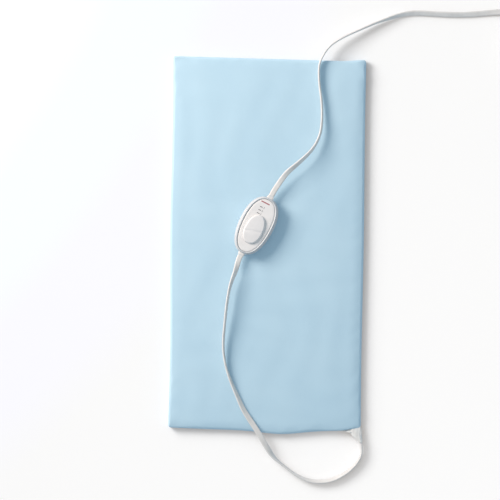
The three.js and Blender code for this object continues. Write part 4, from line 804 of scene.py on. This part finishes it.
# %% Bag edge
EDGE_LEFT, EDGE_WIDTH, EDGE_ROOT, EDGE_FRONT = 121, 22, 292, 302.2
EDGE_LOW, EDGE_RISE, EDGE_SLANT, EDGE_WAVE = 6.2, 3.4, 3.2, 0.5
EDGE_WALL = 0.5 * MM

u, v = np.meshgrid(np.linspace(0, 1, 40), np.linspace(0, 1, 16))
front = EDGE_FRONT + EDGE_SLANT * smooth_step(u / 0.9) + EDGE_WAVE * np.sin(11 * u)
edge_sheet = MM * np.stack([
    EDGE_LEFT + EDGE_WIDTH * u,
    -(EDGE_ROOT + (front - EDGE_ROOT) * v),
    EDGE_LOW + EDGE_RISE * v * v + EDGE_WAVE * np.sin(9 * u + 0.5) * v,
], -1)
edge_faces = quads(np.arange(u.size).reshape(u.shape))[:, ::-1]
edge_mesh = bpy.data.meshes.new("bag_edge")
edge_mesh.from_pydata(edge_sheet.reshape(-1, 3), [], edge_faces.tolist(), shade_flat=False)
edge_mesh.materials.append(bag_vinyl)
bag_edge = into_scene("bag_edge", edge_mesh)
wall = bag_edge.modifiers.new("wall", "SOLIDIFY")
wall.thickness = EDGE_WALL
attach(bag_edge, "pad")
print("bag edge reaches", round(float(front.max()), 1), "mm from the middle")

# %% [markdown]
# ## Controller case
# The lower shell is an egg in plan, a blunt ellipse that is wider towards the supply cord. In section it
# rolls up from the foot to its widest line, over a ledge to a raised rim, and down inside that to the lid.
# All of it is one profile of insets and heights, carried round the egg. The rim is narrower at the ends, so
# there an inset counts for less.


# %% Controller tools
def egg(length, width, height, bluntness, taper, middle=0.0, sides=144):
    """Rows of blunt ellipses in the controller's millimetres, narrower by the taper towards +y."""
    x, y = blunt_ring(sides, 2 / bluntness)
    return (
        np.asarray(width)[:, None] / 2 * x * (1 - taper * y),
        middle + np.asarray(length)[:, None] / 2 * y,
        np.broadcast_to(np.asarray(height, float)[:, None], (len(height), sides)),
    )


def quarter(start, end, steps, level_first):
    """A quarter ellipse from one inset and height to another, level or upright at its start."""
    angle = np.linspace(0, np.pi / 2, steps)
    slow, fast = 1 - np.cos(angle), np.sin(angle)
    inset, height = (fast, slow) if level_first else (slow, fast)
    return np.stack([start[0] + (end[0] - start[0]) * inset, start[1] + (end[1] - start[1]) * height], -1)


CASE_LENGTH, CASE_WIDTH, CASE_BLUNTNESS, CASE_TAPER = 100, 57, 2.3, -0.05


# %% Case
FOOT_INSET, WIDEST_HEIGHT, RIM_BOTTOM, CASE_WALL, CASE_FLOOR = 6, 8.5, 16.4, 2.0, 2.0


def end_inset(inset, height):
    """An inset at the egg's ends: less than at its sides above the widest line, down to two thirds of it."""
    return inset * (1 - 0.35 * smooth_step((height - WIDEST_HEIGHT) / 4))


profile = np.concatenate([
    [(FOOT_INSET + 0.6, 0)],
    quarter((FOOT_INSET, 0), (0, WIDEST_HEIGHT), 12, True),
    [(0.06, 10.4), (0.25, 11.9), (0.65, 12.8), (1.3, 13.2), (2.1, 13.4), (2.6, 13.7), (2.85, 14.7)],
    [(2.98, 16.6), (3.1, 18.2), (3.3, 19.3), (3.65, 20.0), (4.1, 20.25), (4.6, 20.1), (5, 19.9)],
    [(5.4, 19.65), (5.75, 19.4), (6, 19.1), (6.15, 18.7), (6.2, 18), (6.2, 17)],
    quarter((6.2, RIM_BOTTOM), (CASE_WALL, WIDEST_HEIGHT), 8, True),
    quarter((CASE_WALL, WIDEST_HEIGHT), (FOOT_INSET + 1, CASE_FLOOR), 8, False)[1:],
])
fill = np.array([0.06, 0.4, 0.8])
inset, height = profile.T
case_lengths, case_widths = CASE_LENGTH - 2 * end_inset(inset, height), CASE_WIDTH - 2 * inset
case_rows = in_controller(*egg(
    np.concatenate([fill * case_lengths[0], case_lengths, fill[::-1] * case_lengths[-1]]),
    np.concatenate([fill * case_widths[0], case_widths, fill[::-1] * case_widths[-1]]),
    np.concatenate([0 * fill, height, 0 * fill + height[-1]]),
    CASE_BLUNTNESS, CASE_TAPER,
))
# The shell is painted a shade greyer than the lid, for the light on its flanks.
add_piece(
    "case_shell", [skin(case_rows)], shell_plastic_painted_shade,
    stands_for=["controller_case"], sharp=50,
)

# %% [markdown]
# ## Lid
# The lid is a flat panel, sunk inside the rim, with a slot for the slider's neck. Its skin is a closed band:
# out over the top from the slot to the edge, down the skirt, and back underneath. So each row lies between
# the slot's outline and the egg's, by a share.

# %% Lid
LID_TOP, SLOT_LENGTH, SLOT_WIDTH = 19.6, 25.1, 5.6
lid_share = np.array([0, 0.01, 0.15, 0.35, 0.6, 0.85, 1, 1, 1, 1, 1, 1, 1, 0.6, 0.2, 0])
lid_inset = np.array([8.6, 8.6, 8.6, 8.6, 8.6, 8.6, 8.6, 7.9, 7.3, 6.8, 6.5, 6.4, 8.5, 10, 10, 10])
lid_height = LID_TOP - np.array([0.3, 0, 0, 0, 0, 0, 0, 0.08, 0.25, 0.55, 1, 2.8, 2.8, 2, 2, 2])
lid_x, lid_y, lid_z = egg(
    CASE_LENGTH - 2 * end_inset(lid_inset, lid_height), CASE_WIDTH - 2 * lid_inset, lid_height,
    CASE_BLUNTNESS, CASE_TAPER,
)
same = np.ones(len(lid_share))
slot_x, slot_y, _ = egg(same * SLOT_LENGTH, same * SLOT_WIDTH, lid_height, 6, 0)
part = lid_share[:, None]
lid_rows = in_controller(slot_x + part * (lid_x - slot_x), slot_y + part * (lid_y - slot_y), lid_z)
add_piece("lid_panel", [skin(lid_rows, loop=True)], case_plastic, stands_for=["controller_lid"], sharp=50)

# %% [markdown]
# ## Thumb slider
# A smaller egg with a rolled edge lies on the lid, pointing at the settings. A crease across it, a little
# slanted, stops the thumb. The crease is a valley in the height, the same at every point along a line. Below
# hangs the neck, which goes through the lid's slot into the carriage.

# %% Slider
SLIDER_LENGTH, SLIDER_WIDTH, SLIDER_EDGE = 49.5, 31, 2.6
SLIDER_MIDDLE, SLIDER_BOTTOM, SLIDER_TALL, SLIDER_CROWN = -6.5, 19.9, 3.6, 0.35
CREASE_PLACE, CREASE_SLANT, CREASE_DEPTH, CREASE_WIDTH = -10.5, 0.3, 0.6, 1.9
NECK_LENGTH, NECK_WIDTH, NECK_MIDDLE, NECK_SIDES = 8.0, 5.0, -8.25, 40

inward = np.array([0.04, 0.12, 0.22, 0.34, 0.46, 0.58, 0.7, 0.8, 0.88, 0.94])
edge_inset, edge_height = quarter((SLIDER_EDGE, SLIDER_TALL), (0, 0.3), 9, True).T
edge_inset = np.concatenate([edge_inset, [0, 1, 9, 14]])
rows_length = np.concatenate([inward * (SLIDER_LENGTH - 2 * SLIDER_EDGE), SLIDER_LENGTH - 2 * edge_inset])
rows_width = np.concatenate([inward * (SLIDER_WIDTH - 2 * SLIDER_EDGE), SLIDER_WIDTH - 2 * edge_inset])
rows_height = np.concatenate([SLIDER_TALL + SLIDER_CROWN * (1 - inward ** 2), edge_height, [0.05, 0, 0, 0]])
slider_x, slider_y, slider_z = egg(rows_length, rows_width, rows_height, 2.2, 0.06, SLIDER_MIDDLE)
from_crease = (slider_y - CREASE_PLACE - CREASE_SLANT * slider_x) / np.hypot(1, CREASE_SLANT)
slider_z = slider_z - CREASE_DEPTH * bell(from_crease, 0, CREASE_WIDTH) * smooth_step((slider_z - 1) / 2)
button = skin(in_controller(slider_x, slider_y, SLIDER_BOTTOM + slider_z))
neck_height = np.array([14.7, 18, 21.5])
same = np.ones(len(neck_height))
neck = skin(in_controller(*egg(
    same * NECK_LENGTH, same * NECK_WIDTH, neck_height, 7, 0, NECK_MIDDLE, NECK_SIDES,
)))
add_piece(
    "slider_button", [button, neck], slider_plastic, "slider", ["thumb_slider"], sharp=60,
)

# %% [markdown]
# ## Marks on the lid
# Ahead of the slider stand the settings, as plain numbers with a dash, and above them a red bar. They are
# printed on the real thing, so they are plates a tenth of a millimetre thick. The numbers are text, made a
# mesh and laid on the lid.


# %% Numbers
NUMBER_SIZE, NUMBER_X, PRINT_THICKNESS = 4.5, -1.6, 0.1
SETTINGS = {"1": 19.7, "2": 25.3, "3": 30.9}
DASH_X, DASH_SIZE = -6.2, (4.8, 1.2)
BAR_MIDDLE, BAR_SIZE = (-3.1, 39.7), (15, 1.9)


def number(text, y):
    """A number as a thin plate on the lid, centred at y along the controller."""
    curve = bpy.data.curves.new("number", "FONT")
    curve.body, curve.size, curve.extrude = text, NUMBER_SIZE * MM, PRINT_THICKNESS / 2 * MM
    curve.align_x, curve.align_y = "CENTER", "CENTER"
    holder = into_scene("number", curve)
    mesh = bpy.data.meshes.new_from_object(holder.evaluated_get(bpy.context.evaluated_depsgraph_get()))
    bpy.data.objects.remove(holder)
    flat = np.zeros(3 * len(mesh.vertices), np.float32)
    mesh.vertices.foreach_get("co", flat)
    x, v, z = flat.reshape(-1, 3).T / MM
    places = in_controller(NUMBER_X + x, y + v, LID_TOP + PRINT_THICKNESS / 2 + z)
    mesh.vertices.foreach_set("co", places.astype(np.float32).ravel())
    mesh.materials.clear()
    mesh.materials.append(grey_print)
    piece = into_scene("setting_" + text, mesh)
    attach(piece, "pad")


def printed_bar(name, middle, size, finish):
    """A thin bar with round corners on the lid: a blunt ellipse with two edge rows above the lid."""
    rows = np.array([0.98, 1.0, 1.0, 0.98])
    height = PRINT_THICKNESS * np.array([0, 0.2, 0.9, 1])
    plate = egg(rows * size[1], rows * size[0], height, 8, 0, middle[1], 40)
    plate = skin(in_controller(middle[0] + plate[0], plate[1], LID_TOP + plate[2]))
    add_piece(name, [plate], finish)


for text, place in SETTINGS.items():
    number(text, place)
    printed_bar("dash_" + text, (DASH_X, place), DASH_SIZE, grey_print)
printed_bar("top_bar", BAR_MIDDLE, BAR_SIZE, red_print)

# %% [markdown]
# ## Grommets
# A soft collar holds each cord where it enters the case. It is a blunt ellipse along the controller's axis,
# with a flange inside the wall and a short taper outside.

# %% Grommets
stops = np.array([40.6, 41.0, 43.2, 43.6, 43.7, 50.0, 52.5, 53.6, 54.0])
wide = np.array([13.4, 14.0, 14.0, 13.4, 11.4, 11.4, 10.9, 10.4, 9.6])
tall = np.array([5.6, 6.2, 6.2, 5.6, 5.2, 5.2, 4.8, 4.4, 3.8])
ring_x, ring_z = blunt_ring(48, 0.6)
for name, end in (("supply_cord_grommet", 1), ("lead_cord_grommet", -1)):
    collar = in_controller(
        wide[:, None] / 2 * ring_x,
        end * stops[:, None],
        ENTRY_HEIGHT + tall[:, None] / 2 * ring_z,
    )
    add_piece(name.replace("cord_grommet", "collar"), [skin(collar)], cord_vinyl, stands_for=[name], sharp=50)

# %% [markdown]
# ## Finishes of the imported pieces
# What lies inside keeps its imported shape: wires, contacts, spring, screws and blades. Each gets its finish in
# its material slot.

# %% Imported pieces
packed = {
    heating_wire: ["heating_wire_a_near", "heating_wire_a_far", "heating_wire_b_far", "heating_wire_b_near"],
    hook_up_wire: ["live_wire", "neutral_wire", "circuit_a_wire", "circuit_b_wire"],
    thermostat: ["thermostat_a", "thermostat_b"],
    inner_plastic: ["slide_carriage"],
    board: ["contact_board"],
    brass: ["moving_contact", "contact_common", "contact_circuit_a", "contact_circuit_b", "plug_blade_live",
            "plug_blade_neutral"],
    steel: ["detent_spring", "case_screw_1", "case_screw_2"],
}
for material, names in packed.items():
    for name in names:
        nodes[name].data.materials.clear()
        nodes[name].data.materials.append(material)
print("packed pieces with a finish:", sum(map(len, packed.values())))

# %% [markdown]
# ## What the cords are
# The lead goes back into the object at both ends. The supply cord ends in the plug and carries the strap.

# %% [markdown]
# ## Light
# A large soft lamp stands up to the left, low enough to give the pad a wide, soft shadow at its right and
# lower edges, and near enough that the light falls off across it. A pale sky, a little cooler than the lamp,
# fills the shadows. Rays that see the sky directly, from the camera or by a mirror, find it white.

# %% Light
KEY_DISTANCE, KEY_POWER, KEY_SIZE = 2.2, 46.0, 0.95
KEY_TINT = np.array([1.15, 1.01, 0.9])
SKY = np.array([0.41, 0.485, 0.54])
way = Vector((-0.69, 0.44, 0.51)).normalized()
key = into_scene("key", bpy.data.lights.new("key", "AREA"))
key.data.energy, key.data.size, key.data.color = KEY_POWER, KEY_SIZE, KEY_TINT
key.location = way * KEY_DISTANCE
key.rotation_euler = way.to_track_quat("Z", "Y").to_euler()
bpy.context.scene.view_settings.view_transform = "Standard"


def seen_directly(tree):
    """One for rays from the camera or by way of a mirror or glass, and zero for rays that carry light."""
    rays = add_node(tree, "LightPath", {}).outputs
    mirror = combine(tree, "MAXIMUM", rays["Is Glossy Ray"], rays["Is Transmission Ray"])
    return combine(tree, "MAXIMUM", rays["Is Camera Ray"], mirror)


world = bpy.data.worlds.new("sky")
bpy.context.scene.world = world
world.use_nodes = True
tree = world.node_tree
tint = two_tones(tree, seen_directly(tree), (*SKY, 1), (1, 1, 1, 1), 0, 1)
tree.links.new(tint, tree.nodes["Background"].inputs["Color"])
print("key", KEY_POWER, "W at", KEY_DISTANCE, "m")

# %% [markdown]
# ## Floor
# The floor is a plain white sheet. The lamp lights its left more than its right, which a photograph on white
# doesn't show. The lamp's share falls with the cube of the distance to it, once for the slant and twice for
# the spread. So the floor glows, for rays that see it directly, by what is missing to an even white. Its own
# colour undoes the lamp's tint, so its shadows are grey. Where something stands close by on the lamp's side,
# its colour and glow are darkened: a painted shade, added to the lamp's own shadow.

# %% Floor
FLOOR_WHITE, SHADOW_DEPTH, LAMP_SPREAD = 0.985, 0.44, 0.7 * KEY_SIZE ** 2
CONTACT_DEPTH, CONTACT_REACH, CONTACT_FREE = 0.62, 0.045, 0.88
FLOOR_HALF, FLOOR_LINES, FLOOR_HEIGHT = 8, 9, -0.0002

lamp_at_middle = KEY_POWER * way.z / (np.pi * KEY_DISTANCE) ** 2
floor_share = SHADOW_DEPTH / (lamp_at_middle * KEY_TINT)
sheet, tree, shader = new_finish("floor", Roughness=0.9, Emission_Strength=0)
place = add_node(tree, "TexCoord", {}).outputs["Object"]
reach = combine(tree, "SUBTRACT", place, key.location, "VectorMath", "Vector")
square = combine(tree, "ADD", combine(tree, "DOT_PRODUCT", reach, reach, "VectorMath"), LAMP_SPREAD)
near = combine(tree, "DIVIDE", KEY_DISTANCE ** 2 + LAMP_SPREAD, square)
lamp = combine(tree, "MULTIPLY", combine(tree, "POWER", near, 1.5), SHADOW_DEPTH)
dark = FLOOR_WHITE - floor_share * SKY
missing = combine(tree, "SUBTRACT", dark, lamp, "VectorMath", "Vector")
missing = combine(tree, "MAXIMUM", missing, (0, 0, 0), "VectorMath", "Vector")

# Painted shade: where the way towards the lamp is blocked close by, the floor's colour and glow are darker.
to_lamp = add_node(tree, "CombineXYZ", dict(zip("XYZ", way))).outputs["Vector"]
free = add_node(tree, "AmbientOcclusion", {"Distance": CONTACT_REACH, "Normal": to_lamp}, samples=8)
shade = add_node(tree, "MapRange", {
    "Value": free.outputs["AO"], "From Max": CONTACT_FREE, "To Min": 1 - CONTACT_DEPTH,
}).outputs["Result"]
for colour, socket in ((floor_share, "Base Color"), (missing, "Emission Color")):
    shaded = add_node(tree, "VectorMath", {0: colour, "Scale": shade}, operation="SCALE").outputs["Vector"]
    tree.links.new(shaded, shader.inputs[socket])
tree.links.new(seen_directly(tree), shader.inputs["Emission Strength"])

lines = np.linspace(-FLOOR_HALF, FLOOR_HALF, FLOOR_LINES)
floor_x, floor_y = np.meshgrid(lines, lines)
floor_points = np.stack([floor_x, floor_y, np.full_like(floor_x, FLOOR_HEIGHT)], -1).reshape(-1, 3)
floor_mesh = bpy.data.meshes.new("floor")
floor_mesh.from_pydata(floor_points, [], quads(np.arange(floor_x.size).reshape(floor_x.shape)).tolist())
floor_mesh.materials.append(sheet)
floor = into_scene("floor", floor_mesh)
print("floor colour", np.round(floor_share, 2), "glow by up to", np.round(dark, 2))
